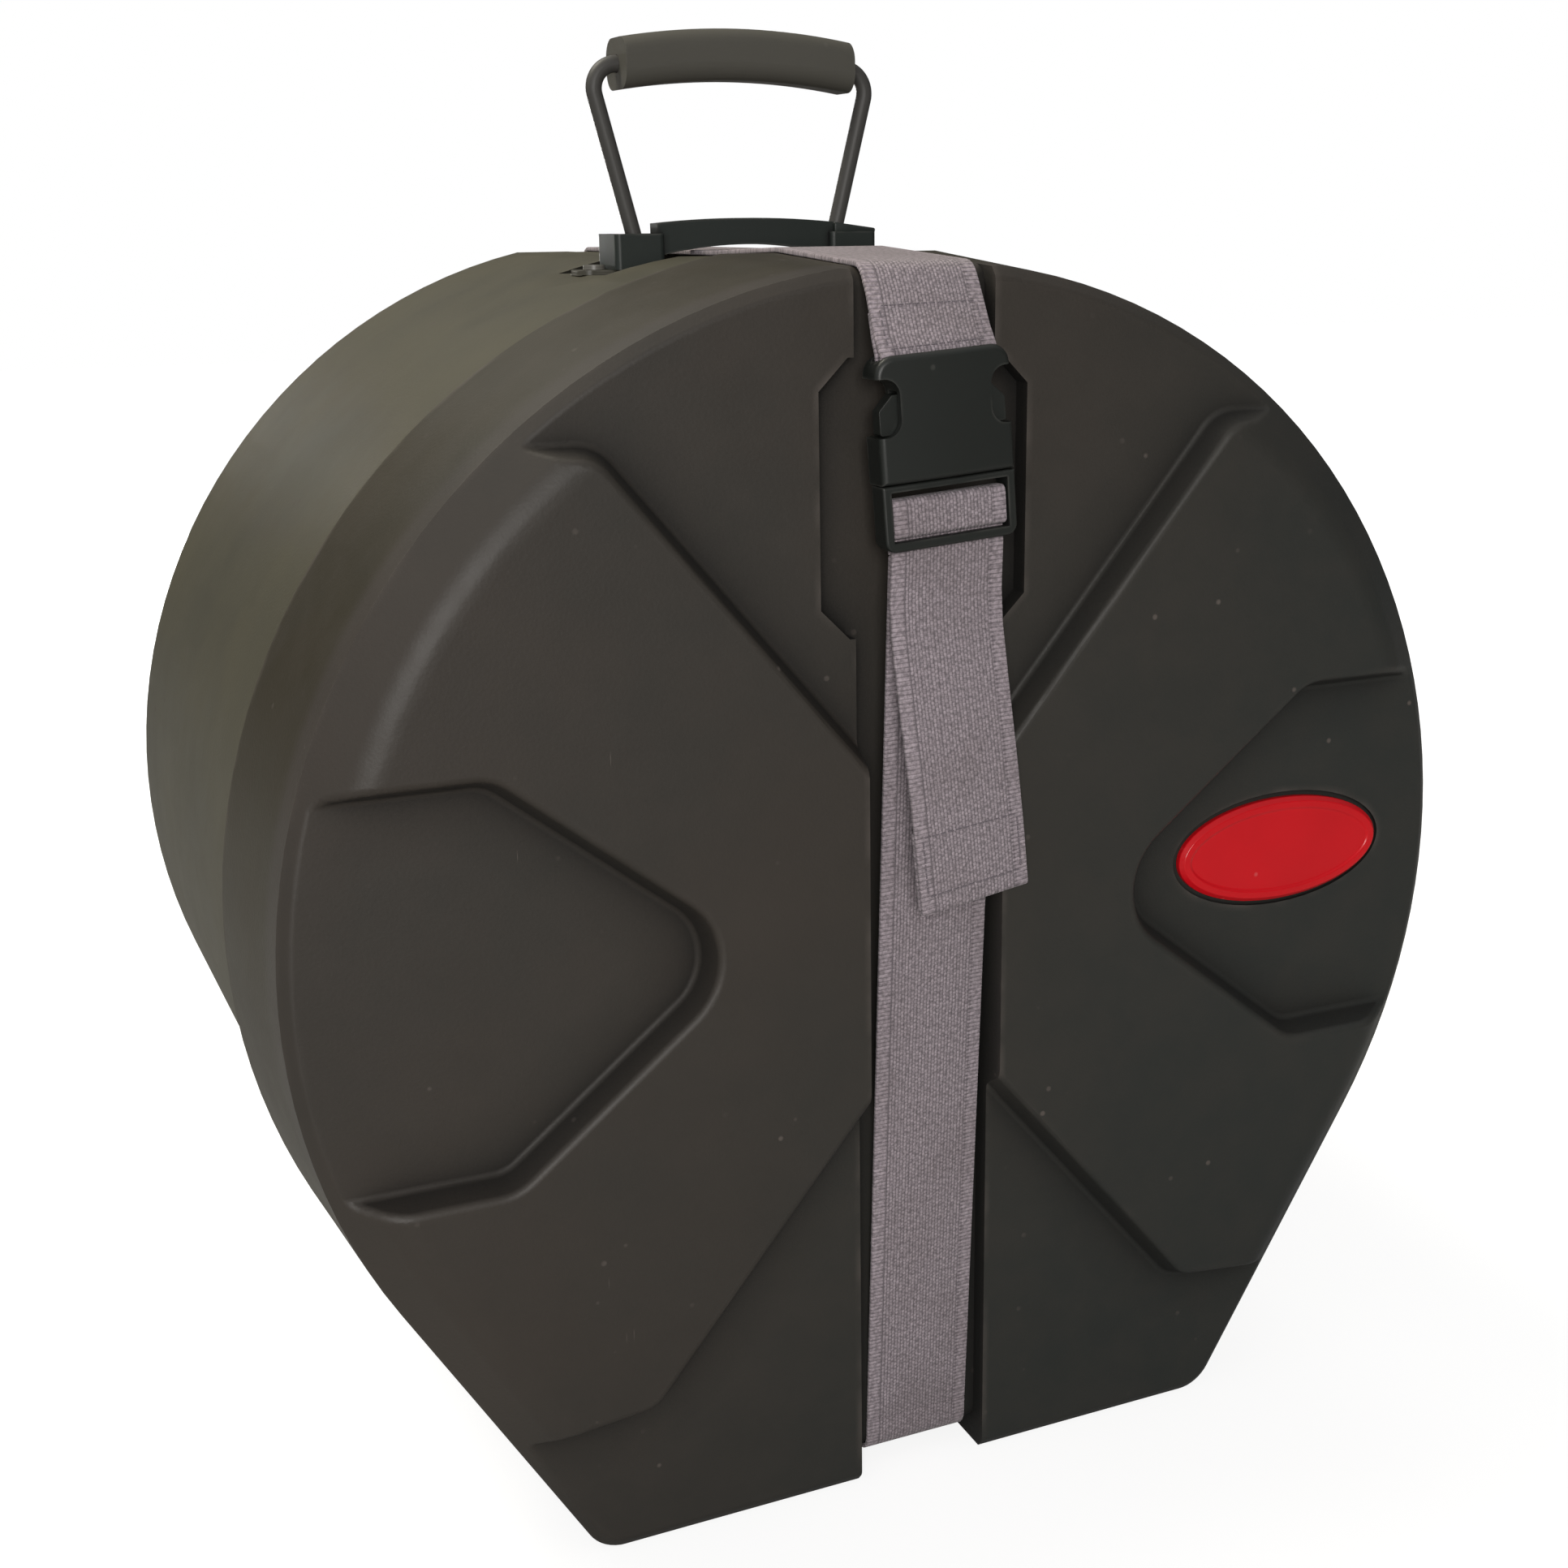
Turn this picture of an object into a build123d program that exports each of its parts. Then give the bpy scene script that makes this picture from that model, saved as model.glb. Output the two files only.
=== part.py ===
from build123d import *
import os
from math import cos, radians, sin, sqrt, tan

# Upright moulded drum case with a slide-off lid, a webbing strap and a bail handle.
# X runs across the face, Y runs from the lid at the front to the back, Z is up.
# The origin is on the ground, below the middle of the whole case.

os.makedirs("parts", exist_ok=True)

half_turn = 180
over = 30.0  # overrun of cutting tools past what they cut
near_enough = 0.05  # tolerance when an edge is picked by its place
sharp_turn = 15  # degrees between two faces that make a sharp edge

# Webbing
web_width = 38.0
web_thick = 1.6
web_gap = 0.2  # air between the webbing and what it lies on

# Outline from the front: a circle with straight flanks down to a flat foot
lid_radius = 204.0  # at the crisp rim of the lid's face
centre_lift = 1.0  # how much higher than its radius the circle's centre is
flank_angle = 30.2  # degrees below level where a flank leaves the circle
foot_corner = 14.0
foot_skim = 0.1  # what is cut off below the foot to leave it flat

# Shells
wall = 4.0
skirt_depth = 66.0
skirt_flare = 5.2  # growth of the skirt's radius from the rim to its open edge
base_step = 1.0  # from the lid's radius to the base's, right behind the skirt
base_flare = 4.0  # growth of the base's radius from there to its rear rim
base_depth = 275.0  # from the lid's rim to the base's rear rim
shell_gap = 0.6  # air between the lid's skirt and the base's tongue
shoulder_gap = 1.0
lip_depth = 13.0  # depth of the tongue's open edge behind the lid's rim
flat_drop = 1.0  # depth of the base's flat crown below the top of the circle
crown_drop = 1.8  # depth of the lid's crown below the top of its circle
crown_climb = 3.5  # how far the lid's crown rises from the rim to the skirt's edge

# Ribbed faces, the same on the lid and on the back
rib_rise = 12.5
floor_rise = 3.0
rim_bevel = 50  # degrees that the face leans back from the rim
ridge_round = 16.0
crest_round = 3.0
root_round = 2.5
rim_round = 4.0
recess_draft = 22  # degrees
rib_slope = 50.2  # degrees from level
upper_point_share = 0.152  # height of the upper recess's point over the centre, of the radius
upper_reach_share = 0.51
upper_turn = 0  # degrees
lower_point_share = 0.172
lower_reach_share = 0.48
lower_turn = 6  # degrees
recess_round = 14.0
pocket_half_share = 0.299
pocket_shoulder_share = 0.696
pocket_point_share = 0.321
pocket_round = 20.0
pocket_shoulder_round = 12.0

# Strap channel
channel_side = 4.5  # free width of the channel beside the webbing
channel_floor = 4.0  # depth of its floor behind the rim
foot_groove = 8.0
bend_round = 6.0  # where the webbing turns over the case's edges

# Side-release buckle
buckle_width = 44.5
buckle_thick = 9.5
buckle_front = 15.5  # how far its face stands in front of the rim
buckle_drop = 25.0  # from the top of the lid's circle to its upper end
frame_height = 19.9
socket_height = 37.6
socket_round = 6.0
buckle_edge = 1.8
buckle_gap = 0.3
notch_height = 17.0
notch_deep = 7.2
notch_round = 5.0
notch_lift = 14.0  # from the socket's mouth to the notch's lower edge
mouth_width = 38.4
mouth_thick = 5.6
mouth_deep = 27.0
guide_width = 9.0
guide_length = 25.0
prong_inner = 13.6
prong_width = 3.6
prong_reach = 21.0  # outermost reach of a prong's pad from the buckle's middle
pad_flat = 7.3  # upright outer side of the pad
prong_tip = 2.9  # width of a prong's tip
prong_length = 26.0
pocket_front = 1.9  # wall in front of the socket's bar
pocket_thick = 5.7
pocket_deep = 6.6
pocket_width = 40.4
bar_thick = 1.6
bar_height = 3.0
bar_lift = 2.2  # from the pocket's floor to the bar
frame_front = 0.5  # how far the frame's face lies behind the socket's
frame_thick = 7.8
frame_round = 3.5
window_width = 39.0
window_low = 2.9  # height of the frame's lowest bar
window_high = 17.9
low_bar_thick = 3.4
middle_bar_low = 6.9
middle_bar_height = 5.5
middle_bar_front = 2.5
middle_bar_thick = 2.5
buckle_lean = 4.2  # degrees that the buckle hangs askew, its foot to the right
buckle_shift = -0.5  # sideways, at its upper end
relief_half = 35.0
relief_above = 2.0  # from the relief's upper end up to the buckle's upper end
relief_below = 28.5
relief_chamfer = 9.5

# Webbing runs
slack_shares = (0.3, 0.8)  # of the way from the crown to the buckle, where the webbing twists
web_bend = 1.1  # radius of its middle where it is threaded round a bar
strap_split = 20.0  # height at which the lowest part of the front run starts
span_end = 126.0  # depth at which the run over the flat is held by the base
main_depth = -8.9  # depth of the front run at the frame
threaded_top = 14.8  # heights over the frame's lower end of the two turns round its bar
threaded_low = 4.6
over_bar = -13.7
under_bar = -10.7
fold_depth = -2.3  # end of the layer that is sewn back behind the socket
fold_rise = 10.5  # of that end over the socket
tail_shape = [
    (22.0, 0.9, -14.6, 2.0, 0),
    (68.0, 5.0, -19.2, 5.0, 3),
    (112.0, 9.6, -20.0, 9.0, 6),
]  # below the frame: drop, sideways shift, depth, and degrees of tilt and turn
tail_front = 22.8  # how far the tail stands in front of the lid's rim

# Badge
badge_width = 82.5
badge_height = 37.0
badge_thick = 3.4
badge_inset = 66.0  # from the rim to its middle
badge_lift = 4.0  # above the circle's centre
badge_sink = 1.2
badge_gap = 1.8
badge_bevel = 1.5

# Handle
handle_depth = 148.5  # pivot's place behind the lid's rim
seat_drop = 6.0  # depth of the handle's seat below the flat crown
seat_half = 21.0
pivot_lift = 9.5  # pivot above the seat
wire_radius = 2.8
bail_height = 60.0  # from the pivot to the middle of the grip's wire
bail_foot = 37.6
bail_top = 53.4
bail_pin = 47.5
bail_foot_round = 3.1
bail_top_round = 8.2
grip_half = 42.5
grip_rise = 3.5
grip_width = 22.0
grip_height = 17.0
grip_round = 6.5
pin_gap = 0.2
block_inner = 31.5
block_outer = 49.5
block_height = 13.6  # above the seat
block_behind = 7.5  # from the pivot to the blocks' rear face
block_round = 2.0
arch_step = 3.4  # from the blocks' top up to the ends of the arch
arch_rise = 5.0  # from the blocks' top to the arch's top
arch_low = 6.0  # from the seat to the arch's underside at its ends
arch_under = 9.6  # and in the middle
arch_behind = 2.5  # how far the arch's face lies behind the blocks' faces
arch_thick = 10.0
arch_front = 13.2  # from the pivot to the arch's front
slot_inner = 33.9
slot_outer = 44.6
anchor_thick = 1.5
anchor_inner = 22.5
anchor_outer = 60.5
anchor_width = 16.0
anchor_round = 4.0
seat_gap = 0.1
rivet_inner = 27.0
rivet_outer = 53.6
rivet_shank = 2.4
rivet_head = 3.8
rivet_dome = 1.6

# Foam lining
foam_gap = 0.3
liner_thick = 8.0
liner_front = 22.0
liner_back = 240.0
lid_foam_inset = 20.0  # from the lid's radius
lid_foam_thick = 12.0
back_foam_inset = 25.0  # from the base's radius
back_foam_thick = 12.0
drum_inset = 26.0  # from the lid's radius to the curve that holds the drum
wedge_half = 26.0  # from the middle to a corner wedge
wedge_drop = 105.0  # from the circle's centre down to the wedges' upper end
foam_foot = 17.2
liner_inset = 7.5  # from the lid's radius

# Where things lie along Y: everything is placed by its depth behind the lid's rim
rim_y = (tail_front - base_depth - rib_rise) / 2

centre_z = lid_radius + centre_lift
base_radius = lid_radius + base_step
flat_z = centre_z + base_radius - flat_drop
seat_z = flat_z - seat_drop
channel_half = web_width / 2 + channel_side
shoulder_depth = skirt_depth + shoulder_gap
rear_floor = base_depth - channel_floor
buckle_top = centre_z + lid_radius - buckle_drop
buckle_z = buckle_top - socket_height - frame_height
badge_x = lid_radius - badge_inset
badge_z = centre_z + badge_lift
foam_radius = lid_radius - liner_inset


def at_depth(depth):
    """Upright plane facing forward, this far behind the lid's rim."""
    return Plane.XZ.offset(-(rim_y + depth))


def skirt_radius(depth):
    """Outer radius of the lid's skirt at a depth."""
    return lid_radius + skirt_flare * depth / skirt_depth


def tongue_radius(depth):
    """Outer radius of the part of the base that the skirt slides over."""
    return skirt_radius(depth) - wall - shell_gap


def base_side(depth):
    """Outer radius of the base behind the skirt."""
    return base_radius + base_flare * (depth - shoulder_depth) / (base_depth - shoulder_depth)


def crown_height(depth):
    """Height of the flat along the lid's crown, on which the webbing lies."""
    return centre_z + lid_radius - crown_drop + crown_climb * depth / skirt_depth


def dee(radius, foot, corner):
    """Sketch of the case's outline with its foot a skim below a height."""
    lean = radians(flank_angle)
    low = foot - foot_skim
    half = radius * cos(lean) - (centre_z - radius * sin(lean) - low) * tan(lean)
    with BuildSketch() as outline:
        with BuildLine():
            arc = CenterArc((0, centre_z), radius, -flank_angle, half_turn + 2 * flank_angle)
            Polyline(arc @ 1, (-half, low), (half, low), arc @ 0)
        make_face()
        fillet(outline.vertices().group_by(Axis.Y)[0], corner)
    return outline.sketch


def sector(radius, point_share, reach_share, turn, upward):
    """Sketch of the upper or lower recess between the ribs, open to the rim."""
    point = radius * point_share
    reach = radius * reach_share
    rise = reach * tan(radians(rib_slope))
    far = base_radius + over
    edge = [
        (0, upward * point),
        (reach, upward * (point + rise)),
        (far, upward * (point + rise + (far - reach) * tan(radians(turn)))),
        (far, upward * 2 * far),
    ]
    right = [(x, centre_z + z) for x, z in edge]
    left = [(-x, z) for x, z in reversed(right[1:])]
    with BuildSketch() as recess:
        with BuildLine():
            Polyline(*right, *left, close=True)
        make_face()
        columns = recess.vertices().group_by(Axis.X)
        fillet(columns[1] + columns[-2], recess_round)
    return recess.sketch


def pocket(radius):
    """Sketch of the right-hand recess between the ribs."""
    shoulder = radius * pocket_shoulder_share
    half = radius * pocket_half_share
    far = base_radius + over
    with BuildSketch() as recess:
        with BuildLine():
            Polyline(
                (far, centre_z + half),
                (shoulder, centre_z + half),
                (radius * pocket_point_share, centre_z),
                (shoulder, centre_z - half),
                (far, centre_z - half),
                close=True,
            )
        make_face()
        fillet(recess.vertices().group_by(Axis.X)[1], pocket_shoulder_round)
        fillet(recess.vertices().sort_by(Axis.X)[0], pocket_round)
    return recess.sketch


def rim_start(inset):
    """Depth at which a face set in by a wall leaves the side that is set in by the same wall."""
    return inset * tan(radians(rim_bevel / 2))


def sharp_edges(part, depth):
    """Edges in the plane at a depth along which the surface turns sharply."""
    y = rim_y + depth
    found = []
    for edge in part.edges().filter_by_position(Axis.Y, y - near_enough, y + near_enough):
        middle = edge @ 0.5
        normals = [f.normal_at(middle) for f in part.faces() if any(e.is_same(edge) for e in f.edges())]
        if len(normals) == 2 and normals[0].get_angle(normals[1]) > sharp_turn:
            found.append(edge)
    return ShapeList(found)


def from_centre(edge):
    """Distance of an edge's middle from the circle's axis."""
    middle = edge @ 0.5
    return sqrt(middle.X**2 + (middle.Z - centre_z) ** 2)


def ribbed_face(radius, inset, soft):
    """Ribbed front, facing forward from the rim, or the hollow inside it where inset is a wall.

    A soft front has rounded ribs, and one that isn't has ribs with bevelled crests.
    """
    start = rim_start(inset)
    with BuildPart() as face:
        with BuildSketch(at_depth(start)):
            add(dee(radius - inset, inset, foot_corner))
        extrude(amount=start + rib_rise - inset, taper=rim_bevel)
        if not inset:
            fillet(face.faces().sort_by(Axis.Y)[0].edges(), ridge_round)
        recesses = [
            sector(radius, upper_point_share, upper_reach_share, upper_turn, 1),
            sector(radius, lower_point_share, lower_reach_share, lower_turn, -1),
            pocket(radius),
            mirror(pocket(radius), about=Plane.YZ),
        ]
        for recess in recesses:
            with BuildSketch(at_depth(inset - floor_rise)):
                add(recess)
                if inset:
                    offset(amount=inset)
            extrude(amount=rib_rise, taper=-recess_draft, mode=Mode.SUBTRACT)
        if soft and not inset:
            lean_in = floor_rise * tan(radians(rim_bevel))
            floor = [e for e in sharp_edges(face.part, -floor_rise) if from_centre(e) < radius - 3 * lean_in]
            fillet([e for e in floor if (e @ 0.5).Z > 2 * lean_in], root_round)
            fillet(sharp_edges(face.part, -rib_rise), crest_round)
            fillet(sharp_edges(face.part, -floor_rise), rim_round)
        elif not inset:
            chamfer(sharp_edges(face.part, -rib_rise), crest_round / 2)
    return face.part


def side_form(near, near_radius, far, far_radius, foot):
    """Straight run of the case's side between two depths, with its foot at a height."""
    with BuildPart() as side:
        with BuildSketch(at_depth(near)):
            add(dee(near_radius, foot, foot_corner))
        with BuildSketch(at_depth(far)):
            add(dee(far_radius, foot, foot_corner))
        loft(ruled=True)
    return side.part


def slab(half, near, far, low, high):
    """Block across the middle of the case, between two depths and two heights."""
    with BuildPart() as block:
        with BuildSketch(Plane.XY.offset(low)):
            with Locations((0, rim_y + (near + far) / 2)):
                Rectangle(2 * half, far - near)
        extrude(amount=high - low)
    return block.part


def cut_channel(front, floor, inset):
    """Tool for the strap's channel on a face, from a depth in front of the face to its floor."""
    return slab(channel_half + inset, front, floor, -over, 2 * centre_z + over)


def cut_relief(front, floor, inset):
    """Tool for the wider part of the channel round the buckle."""
    low = buckle_z - relief_below - inset
    high = buckle_top - relief_above + inset
    with BuildPart() as tool:
        with BuildSketch(at_depth(floor)) as shape:
            with Locations((0, (low + high) / 2)):
                Rectangle(2 * (relief_half + inset), high - low)
            chamfer(shape.vertices(), relief_chamfer)
        extrude(amount=floor - front)
    return tool.part


def foot_cut(inset, near, far, cover):
    """Tool for the webbing's way under the foot, for a shell inside cover."""
    return slab(channel_half + inset + cover, near, far, -over, foot_groove + inset + cover)


def crown_cut(near, far, drop):
    """Tool that cuts the lid's crown flat, or what lies below it by a drop."""
    with BuildPart() as tool:
        with BuildSketch(Plane.YZ):
            with BuildLine():
                Polyline(
                    (rim_y + near, crown_height(near) - drop),
                    (rim_y + far, crown_height(far) - drop),
                    (rim_y + far, 2 * flat_z),
                    (rim_y + near, 2 * flat_z),
                    close=True,
                )
            make_face()
        extrude(amount=base_radius, both=True)
    return tool.part


def lid_form(inset, open_end):
    """Outer form of the lid, or the form of its hollow where inset is the wall."""
    near = rim_start(inset)
    with BuildPart() as form:
        add(side_form(near, skirt_radius(near) - inset, open_end, skirt_radius(open_end) - inset, inset))
        add(ribbed_face(lid_radius, inset, True))
        add(cut_channel(-rib_rise - over, channel_floor + inset, inset), mode=Mode.SUBTRACT)
        add(cut_relief(-rib_rise - over, channel_floor + inset, inset), mode=Mode.SUBTRACT)
        add(foot_cut(inset, channel_floor, open_end + over, 0), mode=Mode.SUBTRACT)
        add(slab(base_radius, -over, open_end + over, -over, inset), mode=Mode.SUBTRACT)
        add(crown_cut(-over, open_end + over, inset), mode=Mode.SUBTRACT)
    return form.part


def base_form(inset, open_end):
    """Outer form of the base, or the form of its hollow where inset is the wall."""
    cover = wall + shell_gap
    shoulder = shoulder_depth + inset
    rear = base_depth - rim_start(inset)
    lip_radius = tongue_radius(open_end) - inset
    root_radius = tongue_radius(shoulder) - inset
    with BuildPart() as form:
        add(side_form(open_end, lip_radius, shoulder, root_radius, cover + inset))
        add(foot_cut(inset, open_end - over, shoulder, cover), mode=Mode.SUBTRACT)
        add(crown_cut(open_end - over, shoulder, cover + inset), mode=Mode.SUBTRACT)
        add(side_form(shoulder, base_side(shoulder) - inset, rear, base_side(rear) - inset, inset))
        add(mirror(ribbed_face(base_side(base_depth), inset, False), about=at_depth(base_depth / 2)))
        add(cut_channel(rear_floor - inset, base_depth + rib_rise + over, inset), mode=Mode.SUBTRACT)
        add(foot_cut(inset, shoulder, base_depth + over, 0), mode=Mode.SUBTRACT)
        add(slab(base_radius, shoulder, base_depth + over, -over, inset), mode=Mode.SUBTRACT)
        add(slab(base_radius, shoulder, base_depth + over, flat_z - inset, 2 * flat_z), mode=Mode.SUBTRACT)
        near = handle_depth - seat_half - inset
        far = handle_depth + seat_half + inset
        add(slab(base_radius, near, far, seat_z - inset, 2 * flat_z), mode=Mode.SUBTRACT)
    return form.part


def bends(part, depth):
    """Edges across the channel at a depth, over which the webbing turns."""
    y = rim_y + depth
    across = part.edges().filter_by(Axis.X).filter_by_position(Axis.Y, y - near_enough, y + near_enough)
    turns = (flat_z, crown_height(depth), foot_groove)
    return [e for e in across if min(abs((e @ 0.5).Z - z) for z in turns) < near_enough]


# Lid, hollowed by its own form set in by the wall
with BuildPart() as lid_shell:
    add(lid_form(0, skirt_depth))
    add(lid_form(wall, skirt_depth + over), mode=Mode.SUBTRACT)
    with BuildSketch(at_depth(badge_sink - floor_rise)):
        with Locations((badge_x, badge_z)):
            Ellipse(badge_width / 2 + badge_gap, badge_height / 2 + badge_gap)
    extrude(amount=over, mode=Mode.SUBTRACT)
    fillet(bends(lid_shell.part, channel_floor), bend_round)


# Handle's pieces and their rivets, which the base is drilled for
strip_radius = base_side(handle_depth + anchor_width / 2)
strip_taper = strip_radius - base_side(handle_depth - anchor_width / 2)


def crown(lift):
    """Sketch from the front of the base's upper outline, lifted by a thickness."""
    with BuildSketch() as outline:
        with Locations((0, centre_z)):
            Circle(strip_radius + lift if lift > 0 else strip_radius - strip_taper + lift)
        with Locations((0, seat_z + lift)):
            Rectangle(3 * base_radius, base_radius, align=(Align.CENTER, Align.MIN), mode=Mode.SUBTRACT)
    return outline.sketch


def strip(outer, inner):
    """Right-hand curved strip lying between two lifts of the base's upper outline."""
    with BuildPart() as band:
        with BuildSketch(at_depth(handle_depth - anchor_width / 2)):
            add(crown(outer))
            add(crown(inner), mode=Mode.SUBTRACT)
        extrude(amount=-anchor_width)
        with BuildSketch(Plane.XY.offset(seat_z)):
            with Locations(((anchor_inner + anchor_outer) / 2, rim_y + handle_depth)):
                RectangleRounded(anchor_outer - anchor_inner, anchor_width, anchor_round)
        extrude(amount=over, both=True, mode=Mode.INTERSECT)
    return band.part


def rivet_places():
    """Places on the handle's seat."""
    spots = (-rivet_outer, -rivet_inner, rivet_inner, rivet_outer)
    return [Plane.XY.offset(seat_z).shift_origin((x, rim_y + handle_depth, seat_z)) for x in spots]


def rivet_holes():
    """Tool that drills every rivet's way through the shell and the plates."""
    with BuildPart() as tool:
        for place in rivet_places():
            with BuildSketch(place):
                Circle(rivet_shank + seat_gap)
            extrude(amount=wall + over, both=True)
    return tool.part


# Base, hollowed in the same way from the tongue's open edge
with BuildPart() as base_shell:
    add(base_form(0, lip_depth))
    add(base_form(wall, lip_depth - over), mode=Mode.SUBTRACT)
    fillet(bends(base_shell.part, rear_floor), bend_round)
    add(rivet_holes(), mode=Mode.SUBTRACT)

with BuildPart() as right_anchor:
    add(strip(seat_gap + anchor_thick, seat_gap))
    add(rivet_holes(), mode=Mode.SUBTRACT)

with BuildPart() as left_anchor:
    add(mirror(right_anchor.part, about=Plane.YZ))

with BuildPart() as right_backing:
    add(strip(-wall - seat_gap, -wall - seat_gap - anchor_thick))
    add(rivet_holes(), mode=Mode.SUBTRACT)

with BuildPart() as left_backing:
    add(mirror(right_backing.part, about=Plane.YZ))

rivet_top = seat_gap + anchor_thick + seat_gap
rivet_foot = wall + seat_gap + anchor_thick + seat_gap + strip_taper
with BuildPart() as handle_rivets:
    for place in rivet_places():
        with BuildSketch(place.offset(-rivet_foot - rivet_dome)):
            Circle(rivet_shank)
        extrude(amount=rivet_foot + rivet_top + 2 * rivet_dome)
        for level in (rivet_top, -rivet_foot - rivet_dome):
            with BuildSketch(place.offset(level)):
                Circle(rivet_head)
            extrude(amount=rivet_dome)

# Arched bar with its two end blocks, seated on the anchor plates
bar_top = seat_z + block_height
block_reach = block_inner + block_round
pivot_z = seat_z + pivot_lift
with BuildPart() as handle_bar:
    with BuildSketch(at_depth(handle_depth + block_behind)):
        for side in (-1, 1):
            with Locations((side * (block_inner + block_outer) / 2, centre_z)):
                Rectangle(block_outer - block_inner, bar_top - centre_z, align=(Align.CENTER, Align.MIN))
    extrude(amount=arch_front + block_behind)
    fillet(handle_bar.edges().filter_by(Axis.Z), block_round)
    with BuildSketch(at_depth(handle_depth - arch_front + arch_thick)):
        with BuildLine():
            side_high = bar_top + arch_step
            side_low = seat_z + arch_low
            high = ThreePointArc((-block_reach, side_high), (0, bar_top + arch_rise), (block_reach, side_high))
            low = ThreePointArc((block_reach, side_low), (0, seat_z + arch_under), (-block_reach, side_low))
            Line(high @ 1, low @ 0)
            Line(low @ 1, high @ 0)
        make_face()
    extrude(amount=arch_thick - arch_behind)
    with BuildSketch(at_depth(handle_depth - arch_front - over)):
        add(crown(rivet_top))
    extrude(amount=-3 * over - arch_front, mode=Mode.SUBTRACT)
    with BuildSketch(at_depth(handle_depth - wire_radius - buckle_gap)):
        for side in (-1, 1):
            with Locations((side * (slot_inner + slot_outer) / 2, pivot_z - wire_radius - buckle_gap)):
                Rectangle(slot_outer - slot_inner, over, align=(Align.CENTER, Align.MIN))
    extrude(amount=-over, mode=Mode.SUBTRACT)
    with BuildSketch(Plane.YZ):
        with Locations((rim_y + handle_depth, pivot_z)):
            Circle(wire_radius + pin_gap)
    extrude(amount=bail_pin + pin_gap, both=True, mode=Mode.SUBTRACT)

# Bail of bent wire, hung in the blocks, with its moulded grip
bail_z = pivot_z + bail_height
with BuildPart() as handle_bail:
    with BuildLine(Plane.XZ.offset(-rim_y - handle_depth)) as bent:
        FilletPolyline(
            (-bail_pin, pivot_z),
            (-bail_foot, pivot_z),
            (-bail_top, bail_z),
            (bail_top, bail_z),
            (bail_foot, pivot_z),
            (bail_pin, pivot_z),
            radius=[bail_foot_round, bail_top_round, bail_top_round, bail_foot_round],
        )
    with BuildSketch(Plane(bent.line @ 0, z_dir=bent.line % 0)):
        Circle(wire_radius)
    sweep(path=bent.line)

with BuildPart() as handle_grip:
    with BuildSketch(at_depth(handle_depth - grip_width / 2)):
        with BuildLine():
            low = bail_z - grip_height / 2
            high = bail_z + grip_height / 2
            under = ThreePointArc((-grip_half, low), (0, low + grip_rise), (grip_half, low))
            above = ThreePointArc((grip_half, high), (0, high + grip_rise), (-grip_half, high))
            Line(under @ 1, above @ 0)
            Line(above @ 1, under @ 0)
        make_face()
    extrude(amount=-grip_width)
    fillet(handle_grip.edges().filter_by(GeomType.CIRCLE), grip_round)
    with BuildSketch(Plane.YZ):
        with Locations((rim_y + handle_depth, bail_z)):
            Circle(wire_radius + pin_gap)
    extrude(amount=grip_half + over, both=True, mode=Mode.SUBTRACT)

# The buckle hangs askew: its planes keep the case's heights along its own upright
lean = radians(buckle_lean)
upward = Vector(-sin(lean), 0, cos(lean))
rightward = Vector(cos(lean), 0, sin(lean))
hang = Vector(buckle_shift, 0, buckle_top)
hung_origin = hang - upward * buckle_top


def hung_face(depth):
    """Upright plane of the hanging buckle, facing forward."""
    return Plane(hung_origin + Vector(0, rim_y + depth, 0), x_dir=rightward, z_dir=(0, -1, 0))


def hung_level(height):
    """Plane across the hanging buckle at a height."""
    return Plane(hung_origin + upward * height, x_dir=rightward, z_dir=upward)


hung_side = Plane(hung_origin, x_dir=(0, 1, 0), z_dir=rightward)

# Buckle's socket, held by the webbing of the lid's upper run
socket_z = buckle_z + frame_height + buckle_gap
socket_middle = (socket_z + buckle_top) / 2
mouth_depth = -buckle_front + buckle_thick / 2
with BuildPart() as buckle_socket:
    with BuildSketch(hung_face(buckle_thick - buckle_front)) as shape:
        with Locations((0, socket_middle)):
            Rectangle(buckle_width, buckle_top - socket_z)
        fillet(shape.vertices().group_by(Axis.Y)[-1], socket_round)
    extrude(amount=buckle_thick)
    fillet(buckle_socket.faces().sort_by(Axis.Y)[0].edges(), buckle_edge)
    with BuildSketch(hung_face(buckle_thick - buckle_front)) as shape:
        for side in (-1, 1):
            with Locations((side * buckle_width / 2, socket_z + notch_lift + notch_height / 2)):
                Rectangle(2 * notch_deep, notch_height)
        fillet(shape.vertices(), notch_round)
    extrude(amount=buckle_thick, mode=Mode.SUBTRACT)
    with BuildSketch(hung_level(socket_z)):
        with Locations((0, rim_y + mouth_depth)):
            RectangleRounded(mouth_width, mouth_thick, buckle_edge)
    extrude(amount=mouth_deep, mode=Mode.SUBTRACT)
    with BuildSketch(hung_level(buckle_top)):
        with Locations((0, rim_y - buckle_front + pocket_front + pocket_thick / 2)):
            RectangleRounded(pocket_width, pocket_thick, buckle_edge)
    extrude(amount=-pocket_deep, mode=Mode.SUBTRACT)
    with BuildSketch(hung_level(buckle_top - pocket_deep + bar_lift)):
        with Locations((0, rim_y - buckle_front + pocket_front + pocket_thick / 2)):
            Rectangle(pocket_width + near_enough, bar_thick)
    extrude(amount=bar_height)

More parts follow.
